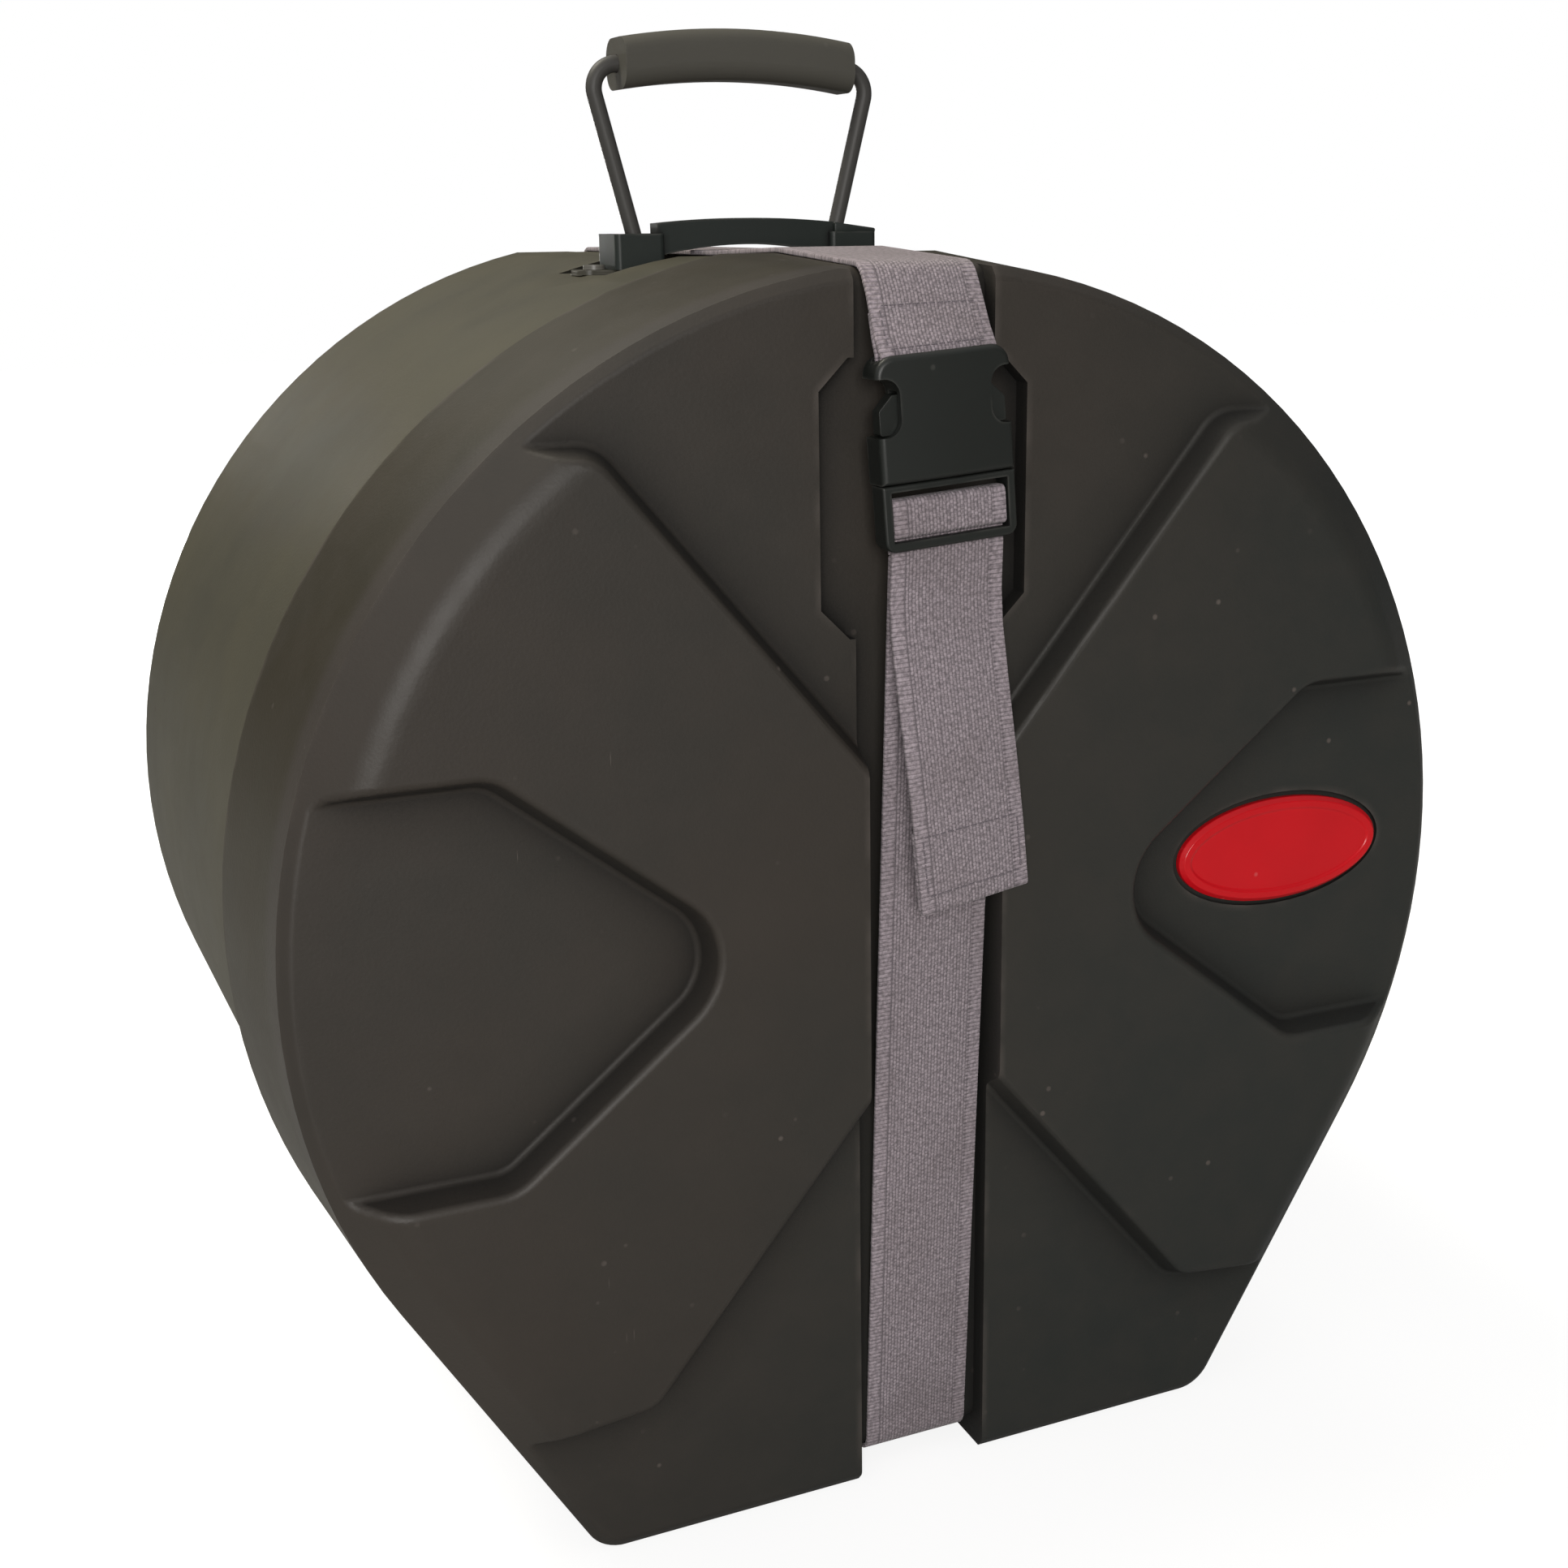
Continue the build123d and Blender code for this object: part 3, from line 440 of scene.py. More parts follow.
def painted_light_share(tree, place):
    """Share of painted light: one at the left and the top of the case, falling to nothing at the lower
    right, where painted shade takes over.
    """
    right, _, up = parts(tree, place)
    return ramp(tree, less(tree, right, times(tree, up, 0.45)), 0.06, -0.19)


def with_skirt(tree, place, tone, skirt):
    """A tone that turns to the skirt's colour behind the lid's rim, or stays as it is without one."""
    if skirt is None:
        return tone
    behind = ramp(tree, parts(tree, place)[1], RIM_Y + 6 * MM, RIM_Y + 16 * MM)
    return blend_colours(tree, behind, tone, skirt)


def webbing_material(settings, groups):
    """Woven polypropylene, on the strap's own UV map."""
    made, tree, shader, place = new_material("webbing", 0.85, 0.25)
    flat = node(tree, "ShaderNodeUVMap", {"uv_map": "weave"}).outputs[0]
    woven = use(tree, groups["weave"], Place=flat, Yarn=settings.yarn, Half=settings.width / 2).outputs
    fuzz = ramp(tree, woven["Fuzz"], 0.3, 0.7)
    lit = blend_colours(tree, fuzz, darker(settings.tone, 0.6), darker(settings.tone, 1.34))
    soil = [value * share for value, share in zip(settings.shade, (1.25, 1.1, 0.9))]
    soiled = ramp(tree, noise(tree, place, 26.0, 5.0, 0.6), 0.45, 0.72)
    lit = blend_colours(tree, times(tree, soiled, 0.22), lit, soil)
    # Painted shade between the yarns
    lit = blend_colours(tree, times(tree, woven["GapShade"], 0.76), lit, settings.shade)
    feed(tree, shader.inputs["Base Color"], lit)
    shader.inputs["Sheen Weight"].default_value = 0.12
    bump(tree, shader, woven["Height"], 0.8, 0.4 * MM)
    return made


def thread_material(tone):
    """Twisted sewing thread."""
    made, tree, shader, place = new_material("thread", 0.7, 0.3)
    inputs = {"Vector": place, "Scale": 900.0}
    twist = node(tree, "ShaderNodeTexWave", {"bands_direction": "DIAGONAL"}, inputs).outputs["Fac"]
    feed(tree, shader.inputs["Base Color"], blend_colours(tree, twist, darker(tone, 0.6), tone))
    bump(tree, shader, twist, 0.5, 0.2 * MM)
    return made


def foam_material(tone):
    """Closed-cell foam with fine pores."""
    made, tree, shader, place = new_material("foam", 0.95, 0.2)
    pore = ramp(tree, cells(tree, place, 700.0), 0.1, 0.6)
    slow = ramp(tree, noise(tree, place, 20.0, 3.0), 0.3, 0.7)
    lit = blend_colours(tree, slow, darker(tone, 0.85), darker(tone, 1.2))
    feed(tree, shader.inputs["Base Color"], blend_colours(tree, pore, darker(tone, 0.6), lit))
    bump(tree, shader, pore, 0.5, 0.3 * MM)
    return made


def badge_material(tone, groups):
    """Glossy red resin, a little deeper in patches and finely scratched."""
    made, tree, shader, place = new_material("badge", 0.25, 0.22)
    grained = use(tree, groups["grain"], Place=place, Grain=1500.0)
    worn = use(tree, groups["marks"], Place=place, Amount=0.5).outputs[0]
    patch = ramp(tree, noise(tree, place, 30.0, 3.0), 0.3, 0.7)
    lit = blend_colours(tree, patch, darker(tone, 0.93), tone)
    lit = blend_colours(tree, times(tree, worn, 0.4), lit, BADGE_SCRATCH)
    feed(tree, shader.inputs["Base Color"], lit)
    shader.inputs["Coat Weight"].default_value = 0.15
    bump(tree, shader, grained.outputs["Height"], 0.04, 0.1 * MM)
    return made


# Colours that show where a finish is rubbed or scratched
PALE, BARE_STEEL = (0.09, 0.088, 0.08), (0.26, 0.25, 0.22)
PALE_GRIP, PALE_WIRE = (0.1, 0.095, 0.085), (0.12, 0.12, 0.11)
BADGE_SCRATCH = (0.7, 0.3, 0.3)

FITTING_GRAIN = 0.5 * MM

made_materials = {}


def materials():
    """All finishes of the case, built once."""
    if made_materials:
        return made_materials
    scene = bpy.context.scene
    shell, webbing, fitting = scene.drum_shell, scene.drum_webbing, scene.drum_fitting
    groups = {"grain": moulded_grain(), "marks": handling_marks(), "weave": webbing_weave()}

    # Name, colour, roughness and the colour of a skirt
    for name, tone, roughness, skirt in (
        ("shell", shell.tone, 0.5, shell.skirt),
        ("base", shell.faded, 0.55, None),
    ):
        # Both shells get painted light at the upper left and painted shade at the lower right
        made_materials[name] = moulded_material(
            name, tone, shell.lower_right_shade, shell.rubbed, shell.grain, groups, roughness, painted_light_and_shade=True, skirt=skirt
        )
    # Name, colour, rubbed colour, roughness, amount of marks, depth of the grain in mm, specular
    for name, tone, rubbed, roughness, marks, depth, specular in (
        ("buckle", fitting.buckle, PALE, 0.4, 0.25, 0.03, 0.32),
        ("handle_bar", fitting.bar, PALE, 0.45, 0.4, 0.05, 0.3),
        ("grip", fitting.grip, PALE_GRIP, 0.7, 0.4, 0.09, 0.2),
        ("wire", fitting.wire, PALE_WIRE, 0.5, 0.4, 0.03, 0.3),
        ("plates", fitting.steel, BARE_STEEL, 0.42, 0.8, 0.03, 0.4),
        ("rivets", fitting.rivet, BARE_STEEL, 0.35, 0.6, 0.03, 0.5),
    ):
        values = (name, tone, darker(tone, 0.93), rubbed, FITTING_GRAIN, groups)
        # Fittings get the same painted shade in their hollows, over a shorter reach
        made_materials[name] = moulded_material(
            *values,
            roughness,
            marks,
            depth * MM,
            specular,
            mottling=0.05,
            painted_shade_reach=3 * MM,
            corner_reach=0.8 * MM,
        )
    made_materials["webbing"] = webbing_material(webbing, groups)
    made_materials["thread"] = thread_material(webbing.thread)
    made_materials["badge"] = badge_material(fitting.badge, groups)
    made_materials["foam"] = foam_material(fitting.foam)
    return made_materials


# Mesh helpers


def only(piece):
    """Make a piece the only one selected, and active."""
    bpy.ops.object.select_all(action="DESELECT")
    piece.select_set(True)
    bpy.context.view_layer.objects.active = piece


def finish_piece(piece, body, slot, nodes, angle, finish=None):
    """Shade a piece, give it its finish and tie it to its body and the nodes that it stands for."""
    only(piece)
    bpy.ops.object.transform_apply(location=True, rotation=True, scale=True)
    bpy.ops.object.shade_smooth_by_angle(angle=radians(angle))
    piece.data.materials.clear()
    piece.data.materials.append(materials()[finish or slot])
    if body:
        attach(piece, body)
    if nodes:
        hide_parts(*nodes)
    return piece


def round_edges(piece, width, segments, angle):
    """Round the edges of the active piece that turn by more than an angle."""
    bevel = piece.modifiers.new("rounding", "BEVEL")
    bevel.width = width
    bevel.segments = segments
    bevel.limit_method = "ANGLE"
    bevel.angle_limit = radians(angle)
    bpy.ops.object.modifier_apply(modifier=bevel.name)


def even_shading(piece):
    """Let the large faces of the active piece lead its shading, between its sharp edges."""
    weighted = piece.modifiers.new("even shading", "WEIGHTED_NORMAL")
    weighted.keep_sharp = True
    bpy.ops.object.modifier_apply(modifier=weighted.name)


# How near points of a CAD mesh are merged, and how flat its faces are to be joined
MERGE_DISTANCE = 0.01 * MM
FLAT_ANGLE = radians(0.5)


def cad_copy(name, body, slot, angle, rounding=0.0, segments=2, finish=None):
    """Merged and smoothed copy of a rigid CAD node, its sharp edges rounded where asked."""
    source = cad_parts[name]
    piece = bpy.data.objects.new(name + "_skin", source.data.copy())
    bpy.context.scene.collection.objects.link(piece)
    only(piece)
    bpy.ops.mesh.customdata_custom_splitnormals_clear()
    bpy.ops.object.mode_set(mode="EDIT")
    bpy.ops.mesh.select_all(action="SELECT")
    bpy.ops.mesh.remove_doubles(threshold=MERGE_DISTANCE)
    bpy.ops.mesh.dissolve_limited(angle_limit=FLAT_ANGLE)
    bpy.ops.object.mode_set(mode="OBJECT")
    if rounding:
        round_edges(piece, rounding, segments, angle)
    finish_piece(piece, body, slot, [name], angle, finish)
    even_shading(piece)
    return piece


def crown_front(piece, low, high, rise, angle, strips=5):
    """Cut each half of a moulding into upright strips and swell its front towards the middle."""
    only(piece)
    bpy.ops.object.mode_set(mode="EDIT")
    middle, half, depth = (low.x + high.x) / 2, (high.x - low.x) / 2, (high.y - low.y) / 2
    for k in range(1 - strips, strips):
        bpy.ops.mesh.select_all(action="SELECT")
        bpy.ops.mesh.bisect(plane_co=(middle + half * k / strips, 0, 0), plane_no=(1, 0, 0))
    mesh = bmesh.from_edit_mesh(piece.data)
    for vert in mesh.verts:
        share = 1 - ((vert.co.x - middle) / half) ** 2
        front = 1 - (vert.co.y - low.y) / depth
        if share > 0 and front > 0:
            vert.co.y -= rise * share * front
    bmesh.update_edit_mesh(piece.data)
    bpy.ops.object.mode_set(mode="OBJECT")
    bpy.ops.object.shade_smooth_by_angle(angle=radians(angle))
    even_shading(piece)


# Webbing

# The buckle leans; its middle line meets the floor here, across and up in mm
LEAN = radians(4.2)
LEAN_FOOT = (27.623, 1.031)

# Depths between which the webbing on top stretches as the lid slides
STRETCH_FROM, STRETCH_TO = SKIRT_DEPTH / MM, 126

# Most that the webbing turns from one row to the next
BEND_STEP = radians(15)


def hung(depth, height):
    """Place on the buckle's leaning middle line, by its depth behind the rim and its height in mm."""
    across, up = LEAN_FOOT
    return Vector(((across - sin(LEAN) * height) * MM, RIM_Y + depth * MM, (up + cos(LEAN) * height) * MM))


def upright(depth, height, aside=0.0):
    """Place on the upright middle line of the case, or a little aside of it, in mm."""
    return Vector((aside * MM, RIM_Y + depth * MM, height * MM))


def bent_rows(corners, step=9 * MM):
    """Rows of a run, each a place and a tilt, from its corners, each a place, a bend radius and a tilt."""
    rows = [(corners[0][0], corners[0][2])]
    for before, here, after in zip(corners, corners[1:], corners[2:]):
        come, go = (here[0] - before[0]).normalized(), (after[0] - here[0]).normalized()
        turn = come.angle(go)
        start = here[0] - come * here[1] * tan(turn / 2)
        middle = start + (go - come * come.dot(go)).normalized() * here[1]
        axis = come.cross(go).normalized()
        count = max(1, round(turn / BEND_STEP))
        for k in range(count + 1):
            rows.append((middle + Matrix.Rotation(turn * k / count, 3, axis) @ (start - middle), here[2]))
    rows.append((corners[-1][0], corners[-1][2]))
    dense = [rows[0]]
    for first, last in zip(rows, rows[1:]):
        count = max(1, round((last[0] - first[0]).length / step))
        for k in range(1, count + 1):
            dense.append((first[0].lerp(last[0], k / count), first[1] + (last[1] - first[1]) * k / count))
    return dense


def row_side(tilt):
    """Direction across the webbing in a row that is tilted up to the right."""
    return Vector((cos(tilt), 0, sin(tilt)))


def lay_webbing(name, rows):
    """Webbing laid row by row from a first edge, then given its thickness, soft edges and weave map."""
    settings = bpy.context.scene.drum_webbing
    bpy.ops.object.select_all(action="DESELECT")
    bpy.ops.mesh.primitive_plane_add(size=settings.width)
    piece = bpy.context.active_object
    piece.name = name
    bpy.ops.object.mode_set(mode="EDIT")
    mesh = bmesh.from_edit_mesh(piece.data)
    bmesh.ops.delete(mesh, geom=[v for v in mesh.verts if v.co.y > 0], context="VERTS")
    mesh.verts.layers.float.new("along")
    across = mesh.verts.layers.float.new("across")
    for vert in mesh.verts:
        vert[across] = vert.co.x
        vert.co = rows[0][0] + row_side(rows[0][1]) * vert.co.x
        vert.select = True
    mesh.select_flush(True)
    bmesh.update_edit_mesh(piece.data)
    laid = 0.0
    for (here, _), (there, tilt) in zip(rows, rows[1:]):
        bpy.ops.mesh.extrude_edges_move(TRANSFORM_OT_translate={"value": there - here})
        laid += (there - here).length
        mesh = bmesh.from_edit_mesh(piece.data)
        along, across = mesh.verts.layers.float["along"], mesh.verts.layers.float["across"]
        for vert in (v for v in mesh.verts if v.select):
            vert[along] = laid
            vert.co = there + row_side(tilt) * vert[across]
    bmesh.update_edit_mesh(piece.data)
    bpy.ops.object.mode_set(mode="OBJECT")
    wall = piece.modifiers.new("thickness", "SOLIDIFY")
    wall.thickness = settings.thick
    wall.offset = 0
    wall.use_even_offset = True
    bpy.ops.object.modifier_apply(modifier=wall.name)
    round_edges(piece, settings.thick * 0.3, 3, 60)
    weave = piece.data.uv_layers.new(name="weave")
    spread, run = piece.data.attributes["across"].data, piece.data.attributes["along"].data
    for loop in piece.data.loops:
        weave.data[loop.index].uv = (spread[loop.vertex_index].value, run[loop.vertex_index].value)
    return piece


def sewn_box(start, end, across, beside):
    """Seams of a sewn box in mm: two across the run, and two along it that stop a little short of them."""
    short = 1
    return [
        ((start, -across), (start, across)),
        ((end, -across), (end, across)),
        ((start + short, -beside), (end - short, -beside)),
        ((start + short, beside), (end - short, beside)),
    ]


def sew(name, body, rows, seams):
    """Stitches in straight seams on a run of webbing, each seam given by its ends along and across it."""
    settings = bpy.context.scene.drum_webbing
    bpy.ops.object.select_all(action="DESELECT")
    bpy.ops.mesh.primitive_cube_add(size=1)
    first = bpy.context.active_object
    first.scale = (settings.stitch * 0.8, settings.thick * 0.3, settings.thick * 0.45)
    bpy.ops.object.transform_apply(location=True, rotation=True, scale=True)
    bpy.ops.object.mode_set(mode="EDIT")
    bpy.ops.mesh.select_all(action="SELECT")
    bpy.ops.mesh.bevel(offset=settings.thick * 0.12, segments=2, affect="EDGES")
    bpy.ops.object.mode_set(mode="OBJECT")
    stitches = []
    for (from_along, from_across), (to_along, to_across) in seams:
        reach = Vector((to_along - from_along, to_across - from_across)) * MM
        count = max(1, round(reach.length / settings.stitch))
        for k in range(count):
            share = (k + 0.5) / count
            spot = (from_along * MM + reach.x * share, from_across * MM + reach.y * share)
            place, run, side, outward = on_webbing(rows, *spot)
            heading = (run * reach.x + side * reach.y).normalized()
            turn = Matrix((heading, outward.cross(heading), outward)).transposed()
            stitch = bpy.data.objects.new(name, first.data.copy())
            bpy.context.scene.collection.objects.link(stitch)
            stitch.matrix_world = Matrix.Translation(place + outward * settings.thick / 2) @ turn.to_4x4()
            stitches.append(stitch)
    bpy.data.objects.remove(first)
    bpy.ops.object.select_all(action="DESELECT")
    for stitch in stitches:
        stitch.select_set(True)
    bpy.context.view_layer.objects.active = stitches[0]
    bpy.ops.object.join()
    seam = bpy.context.active_object
    seam.name = name
    return finish_piece(seam, body, "webbing", [], STITCH_ANGLE, "thread")


def on_webbing(rows, along, across):
    """Place on a run of webbing, with the directions along it, across it and out of its front."""
    laid = 0.0
    for (here, tilt), (there, new_tilt) in zip(rows, rows[1:]):
        length = (there - here).length
        if laid + length >= along:
            break
        laid += length
    share = (along - laid) / length
    side = row_side(tilt + (new_tilt - tilt) * share)
    run = (there - here).normalized()
    outward = side.cross(run).normalized()
    if outward.y > 0:
        outward = -outward
    return here.lerp(there, share) + side * across, run, side, outward


# Depth and height of the ends of the run up the front, in mm
FRONT_FOOT, FRONT_TOP = (2.5, 20.2), (-8.9, 324.9)


def long_run():
    """Corners of the webbing from its fold behind the socket, over the crown and the back, to the foot."""
    settings = bpy.context.scene.drum_webbing
    bend, tight = settings.bend, settings.tight
    front, behind, under, over = -8.95, -12.55, 378.6, 384.0
    flat, rear, foot, start = 410.0, 272.0, 7.0, 3.0
    return [
        (upright(-4.0, 395.4, -0.3), 0, 0.45 * LEAN),
        (hung(-7.4, 389.4), tight, 0.95 * LEAN),
        (hung(front, over), tight, LEAN),
        (hung(front, under), tight, LEAN),
        (hung(behind, under), tight, LEAN),
        (hung(behind, over), tight, LEAN),
        (hung(-9.4, 389.0), tight, LEAN),
        (upright(-1.6, 400.8), tight, 0),
        (upright(start, 408.2), bend, 0),
        (upright(66.2, 411.7), 3 * bend, 0),
        (upright(125.8, flat), 3 * bend, 0),
        (upright(rear, flat), bend, 0),
        (upright(rear, foot), bend, 0),
        (upright(start, foot), bend, 0),
        (upright(*FRONT_FOOT), 0, 0),
    ]


def hanging_tail():
    """Corners of the webbing threaded round the frame's bar, its loose tail and the tail's sewn hem."""
    settings = bpy.context.scene.drum_webbing
    bend, tight, fold = settings.bend, settings.tight, 0.9 * MM
    inner, outer, over, under = -8.9, -13.7, 341.3, 331.1
    return [
        (hung(inner, 325.0), 0, LEAN),
        (hung(inner, over), tight, LEAN),
        (hung(outer, over), tight, LEAN),
        (hung(outer, under), tight, LEAN),
        (hung(-10.7, under), tight, LEAN),
        (hung(-10.9, 325.6), 2 * bend, LEAN * 0.95),
        (upright(-14.4, 306.0, 1.3), 8 * bend, radians(2.4)),
        (upright(-17.5, 281.0, 2.9), 8 * bend, radians(3.2)),
        (upright(-19.6, 256.0, 5.2), 8 * bend, radians(5.2)),
        (upright(-20.2, 234.0, 7.5), 8 * bend, radians(7.2)),
        (upright(-20.0, 214.6, 9.6), fold, radians(9.0)),
        (upright(-17.9, 214.6, 9.6), fold, radians(9.0)),
        (upright(-18.1, 240.5, 7.0), 0, radians(6.8)),
    ]


# How far before its end, in mm, the tail turns back
HEM = 29

# Edges of the webbing and of its stitches that turn by more degrees than this look sharp
WEBBING_ANGLE, STITCH_ANGLE = 40, 50


class DRUMCASE_OT_webbing(Operator):
    """Lay the webbing round the case, through the buckle and down to its tail"""

    bl_idname = "drumcase.webbing"
    bl_label = "Webbing"

    def execute(self, context):
        rows = bent_rows(long_run())
        round_case = lay_webbing("webbing_round_case", rows)
        nodes = ["strap_upper", "web_span_top", "strap_rear", "web_span_foot", "strap_foot"]
        finish_piece(round_case, None, "webbing", nodes, WEBBING_ANGLE)
        near, far = upright(STRETCH_FROM, 0), upright(STRETCH_TO, 0)
        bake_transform(round_case, "lid", "base", start=near, end=far)
        seams = sewn_box(start=27.5, end=41.0, across=15.5, beside=16.0)
        sew("socket_stitches", "lid", rows, seams)

        front = [(upright(*FRONT_FOOT), 0, 0), (hung(*FRONT_TOP), 0, LEAN)]
        up_front = lay_webbing("webbing_up_front", bent_rows(front, step=14 * MM))
        finish_piece(up_front, None, "webbing", ["strap_front"], WEBBING_ANGLE)
        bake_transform(up_front, "lid", "plug", start=front[0][0], end=front[1][0])

        rows = bent_rows(hanging_tail(), step=5 * MM)
        tail = lay_webbing("webbing_tail", rows)
        finish_piece(tail, "plug", "webbing", ["strap_tail"], WEBBING_ANGLE)
        length = sum((there - here).length for (here, _), (there, _) in zip(rows, rows[1:])) / MM
        lip = length - HEM
        seams = sewn_box(start=lip - 23, end=lip - 4, across=16.2, beside=16.6)
        sew("tail_stitches", "plug", rows, seams)
        return {"FINISHED"}


class DRUMCASE_OT_foam(Operator):
    """Finish the foam pads, the side liner and the wedges"""

    bl_idname = "drumcase.foam"
    bl_label = "Foam"

    def execute(self, context):
        for name in ("lid_pad", "back_pad", "side_liner", "left_wedge", "right_wedge"):
            body = "lid" if name == "lid_pad" else "base"
            pad = cad_copy(name, body, "foam", 40, rounding=2.5 * MM, segments=3)
        return {"FINISHED"}


class DRUMCASE_OT_shells(Operator):
    """Finish the lid and the base"""

    bl_idname = "drumcase.shells"
    bl_label = "Shells"

    def execute(self, context):
        angle = 24
        cad_copy("lid_shell", "lid", "shell", angle)
        cad_copy("base_shell", "base", "shell", angle, finish="base")
        return {"FINISHED"}


class DRUMCASE_OT_buckle(Operator):
    """Finish the socket, the plug and its prongs"""

    bl_idname = "drumcase.buckle"
    bl_label = "Buckle"

    def execute(self, context):
        angle = 30
        socket = cad_copy("buckle_socket", "lid", "buckle", angle)
        crown_front(socket, SOCKET_LOW, SOCKET_HIGH, 0.9 * MM, angle)
        cad_copy("buckle_plug", "plug", "buckle", angle, rounding=0.35 * MM)
        for prong in ("left_prong", "right_prong"):
            cad_copy(prong, prong, "buckle", angle, rounding=0.3 * MM)
        return {"FINISHED"}


def bar_shoulder(angle):
    """Sloping shoulder that carries the top of the bar down over its right block."""
    middle = Vector((41.3 * MM, RIM_Y + 140.7 * MM, 418.1 * MM))
    size = (16.2 * MM, 9.8 * MM, 3.6 * MM)
    fall, rounding = 2.2 * MM, 0.6 * MM
    bpy.ops.object.select_all(action="DESELECT")
    bpy.ops.mesh.primitive_cube_add(size=1, location=middle, scale=size)
    piece = bpy.context.active_object
    piece.name = "bar_shoulder"
    bpy.ops.object.transform_apply(location=True, rotation=True, scale=True)
    bpy.ops.object.mode_set(mode="EDIT")
    bpy.ops.mesh.select_all(action="DESELECT")
    mesh = bmesh.from_edit_mesh(piece.data)
    for vert in mesh.verts:
        vert.select = vert.co.x > middle.x and vert.co.z > middle.z
    mesh.select_flush(True)
    bmesh.update_edit_mesh(piece.data)
    bpy.ops.transform.translate(value=(0, 0, -fall))
    bpy.ops.mesh.select_all(action="SELECT")
    bpy.ops.mesh.bevel(offset=rounding, segments=3, affect="EDGES")
    bpy.ops.object.mode_set(mode="OBJECT")
    finish_piece(piece, "base", "handle_bar", [], angle)


class DRUMCASE_OT_handle(Operator):
    """Finish the handle, its bar, its steel strips and its rivets"""

    bl_idname = "drumcase.handle"
    bl_label = "Handle"

    def execute(self, context):
        round_angle, flat_angle = 40, 30
        cad_copy("handle_bail", "handle", "wire", round_angle)
        cad_copy("handle_grip", "handle", "grip", round_angle)
        cad_copy("handle_bar", "base", "handle_bar", flat_angle, rounding=0.5 * MM)
        bar_shoulder(flat_angle)
        for name in ("left_anchor", "right_anchor", "left_backing", "right_backing"):
            cad_copy(name, "base", "plates", flat_angle)
        cad_copy("handle_rivets", "base", "rivets", flat_angle)
        return {"FINISHED"}


class DRUMCASE_OT_badge(Operator):
    """Finish the bare oval badge"""

    bl_idname = "drumcase.badge"
    bl_label = "Badge"

    def execute(self, context):
        rim, wall, sunk, rounding = 2.2 * MM, 0.8 * MM, 0.5 * MM, 0.25 * MM
        flat, near = 0.99, 0.1 * MM
        badge = cad_copy("badge", "lid", "badge", 40)
        only(badge)
        front = min(face.center.y for face in badge.data.polygons)
        bpy.ops.object.mode_set(mode="EDIT")
        bpy.ops.mesh.select_mode(type="FACE")
        bpy.ops.mesh.select_all(action="DESELECT")
        mesh = bmesh.from_edit_mesh(badge.data)
        for face in mesh.faces:
            face.select = face.normal.y < -flat and face.calc_center_median().y < front + near
        mesh.select_flush(True)
        bmesh.update_edit_mesh(badge.data)
        bpy.ops.mesh.inset(thickness=rim)
        bpy.ops.mesh.inset(thickness=wall)
        bpy.ops.transform.translate(value=(0, sunk, 0))
        bpy.ops.object.mode_set(mode="OBJECT")
        round_edges(badge, rounding, 3, 18)
        bpy.ops.object.shade_smooth_by_angle(angle=radians(50))
        return {"FINISHED"}


# Where the backdrop dims, on a scale from above to the lower right, and how far its mirrored light dims
DIM_RANGE = (-0.8, 0.35)
DIM_MIRROR = 0.16

DAYLIGHT, WARM_LIGHT = (1.0, 0.98, 0.95), (1.0, 0.945, 0.8)
CASE_MIDDLE = Vector((0, 0, 0.2))


class DRUMCASE_OT_stage(Operator):
    """Add the floor, the lights and the camera"""

    bl_idname = "drumcase.stage"
    bl_label = "Stage"

    def execute(self, context):
        settings = context.scene.drum_stage
        lay_floor(settings)
        place_camera(context.scene, settings)
        lamp("front_window", (-0.75, -2.0, 0.75), 0.9, settings.key, DAYLIGHT)
        lamp("side_window", (-0.8, 0.7, 2.1), 1.0, settings.rim, WARM_LIGHT)
        lamp("back_window", (0.0, 2.3, 0.3), 0.5, settings.rear, DAYLIGHT)
        light_world(context.scene, settings)
        context.scene.view_settings.view_transform = "Standard"
        return {"FINISHED"}


def lay_floor(settings):
    """Floor that looks white and still takes the case's shadow."""
    bpy.ops.object.select_all(action="DESELECT")
    bpy.ops.mesh.primitive_plane_add(size=12)
    floor = bpy.context.active_object
    floor.name = "floor"
    made, tree, shader, place = new_material("floor", 0.95, 0.1)
    shader.inputs["Base Color"].default_value = (0.4, 0.4, 0.4, 1)
    shader.inputs["Emission Strength"].default_value = 1
    away = node(tree, "ShaderNodeVectorMath", {"operation": "LENGTH"}, {0: place}).outputs["Value"]
    glow = blend_values(tree, ramp(tree, away, 0.5, 1.6), settings.floor, 1.0)
    shown = seen(tree, 0.0, settings.mirror * DIM_MIRROR)
    feed(tree, shader.inputs["Emission Color"], times(tree, shown, glow))
    floor.data.materials.append(made)


def place_camera(scene, settings):
    """Camera that sees the case as the photograph does."""
    bpy.ops.object.camera_add(location=settings.place)
    camera = bpy.context.active_object
    camera.name = "photo_camera"
    turn = Matrix.Rotation(-settings.yaw, 4, "Z") @ Matrix.Rotation(pi / 2 - settings.pitch, 4, "X")
    camera.matrix_world = Matrix.Translation(settings.place) @ turn @ Matrix.Rotation(settings.roll, 4, "Z")
    camera.data.sensor_width = SENSOR_MM
    camera.data.lens = SENSOR_MM * FOCAL_LENGTH / PHOTO_SIDE
    camera.data.shift_x = (PHOTO_SIDE / 2 - CENTRE_ACROSS) / PHOTO_SIDE
    camera.data.shift_y = (CENTRE_DOWN - PHOTO_SIDE / 2) / PHOTO_SIDE
    camera.data.clip_end = 50
    scene.camera = camera


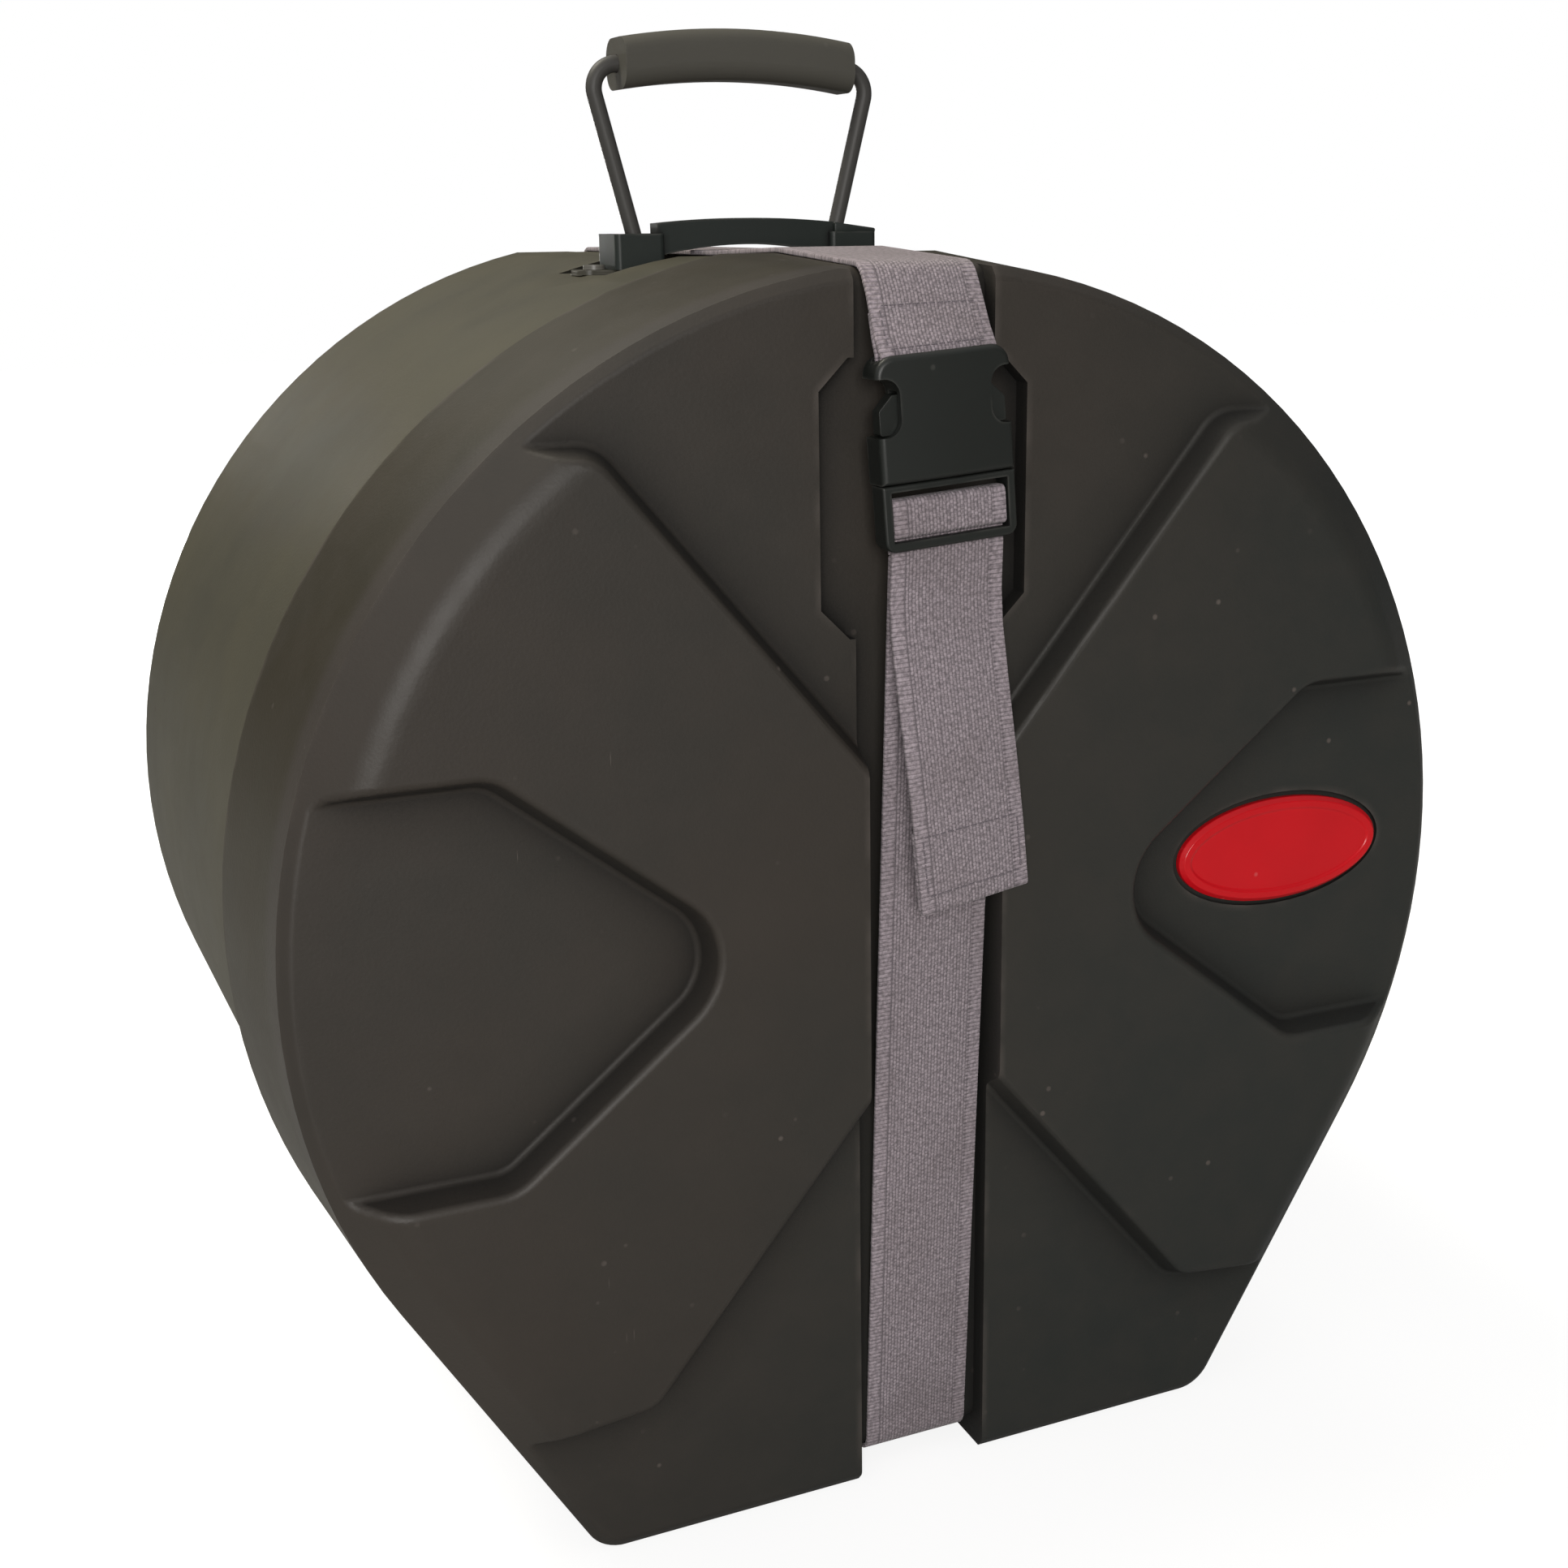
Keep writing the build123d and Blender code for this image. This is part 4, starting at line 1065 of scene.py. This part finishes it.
def light_world(scene, settings):
    """White backdrop whose light and mirrored light fall off towards the lower right, and behind."""
    world = bpy.data.worlds.new("studio")
    scene.world = world
    world.use_nodes = True
    tree = world.node_tree
    right, away, up = parts(tree, tree.nodes.new("ShaderNodeTexCoord").outputs["Generated"])
    low = less(tree, times(tree, right, 0.4), times(tree, up, 0.8))
    behind = times(tree, math(tree, "MAXIMUM", away, 0.0), 0.5)
    dim = ramp(tree, low, *DIM_RANGE)
    mirrored_dim = ramp(tree, plus(tree, low, behind), *DIM_RANGE)
    sky = blend_values(tree, dim, settings.sky * 1.5, settings.sky * 0.5)
    mirror = blend_values(tree, mirrored_dim, settings.mirror * 1.6, settings.mirror * DIM_MIRROR)
    back = tree.nodes["Background"]
    feed(tree, back.inputs["Strength"], seen(tree, sky, mirror))
    back.inputs["Color"].default_value = (1, 1, 1, 1)


def seen(tree, lighting, mirrored):
    """One where the camera sees the backdrop, and other values where it is mirrored or only gives light."""
    path = tree.nodes.new("ShaderNodeLightPath").outputs
    reflected = math(tree, "MAXIMUM", path["Is Glossy Ray"], path["Is Transmission Ray"])
    unseen = blend_values(tree, reflected, lighting, mirrored)
    return blend_values(tree, path["Is Camera Ray"], unseen, 1.0)


def lamp(name, place, size, strength, tint):
    """Soft square light that faces the case."""
    bpy.ops.object.light_add(type="AREA", location=place)
    made = bpy.context.active_object
    made.name = name
    made.data.shape = "SQUARE"
    made.data.size = size
    made.data.energy = strength
    made.data.color = tint
    made.rotation_euler = (CASE_MIDDLE - Vector(place)).to_track_quat("-Z", "Y").to_euler()


class DRUMCASE_PT_pieces(Panel):
    """List of the case's pieces"""

    bl_idname = "DRUMCASE_PT_pieces"
    bl_label = "Drum Case"
    bl_space_type = "VIEW_3D"
    bl_region_type = "UI"
    bl_category = "Drum Case"

    def draw(self, context):
        for operator in STEPS:
            self.layout.operator(operator.bl_idname)


STEPS = (
    DRUMCASE_OT_stage,
    DRUMCASE_OT_shells,
    DRUMCASE_OT_webbing,
    DRUMCASE_OT_buckle,
    DRUMCASE_OT_handle,
    DRUMCASE_OT_badge,
    DRUMCASE_OT_foam,
)
SETTINGS = {
    "drum_shell": ShellSettings,
    "drum_webbing": WebbingSettings,
    "drum_fitting": FittingSettings,
    "drum_stage": StageSettings,
}


def register():
    """Add the settings, the operators and the panel."""
    for kind in (*SETTINGS.values(), *STEPS, DRUMCASE_PT_pieces):
        bpy.utils.register_class(kind)
    for name, kind in SETTINGS.items():
        setattr(bpy.types.Scene, name, bpy.props.PointerProperty(type=kind))


def unregister():
    """Take them away again."""
    for name in SETTINGS:
        delattr(bpy.types.Scene, name)
    for kind in reversed((*SETTINGS.values(), *STEPS, DRUMCASE_PT_pieces)):
        bpy.utils.unregister_class(kind)


def main():
    """Build everything."""
    register()
    for step in STEPS:
        group, name = step.bl_idname.split(".")
        getattr(getattr(bpy.ops, group), name)()


if __name__ == "__main__":
    main()
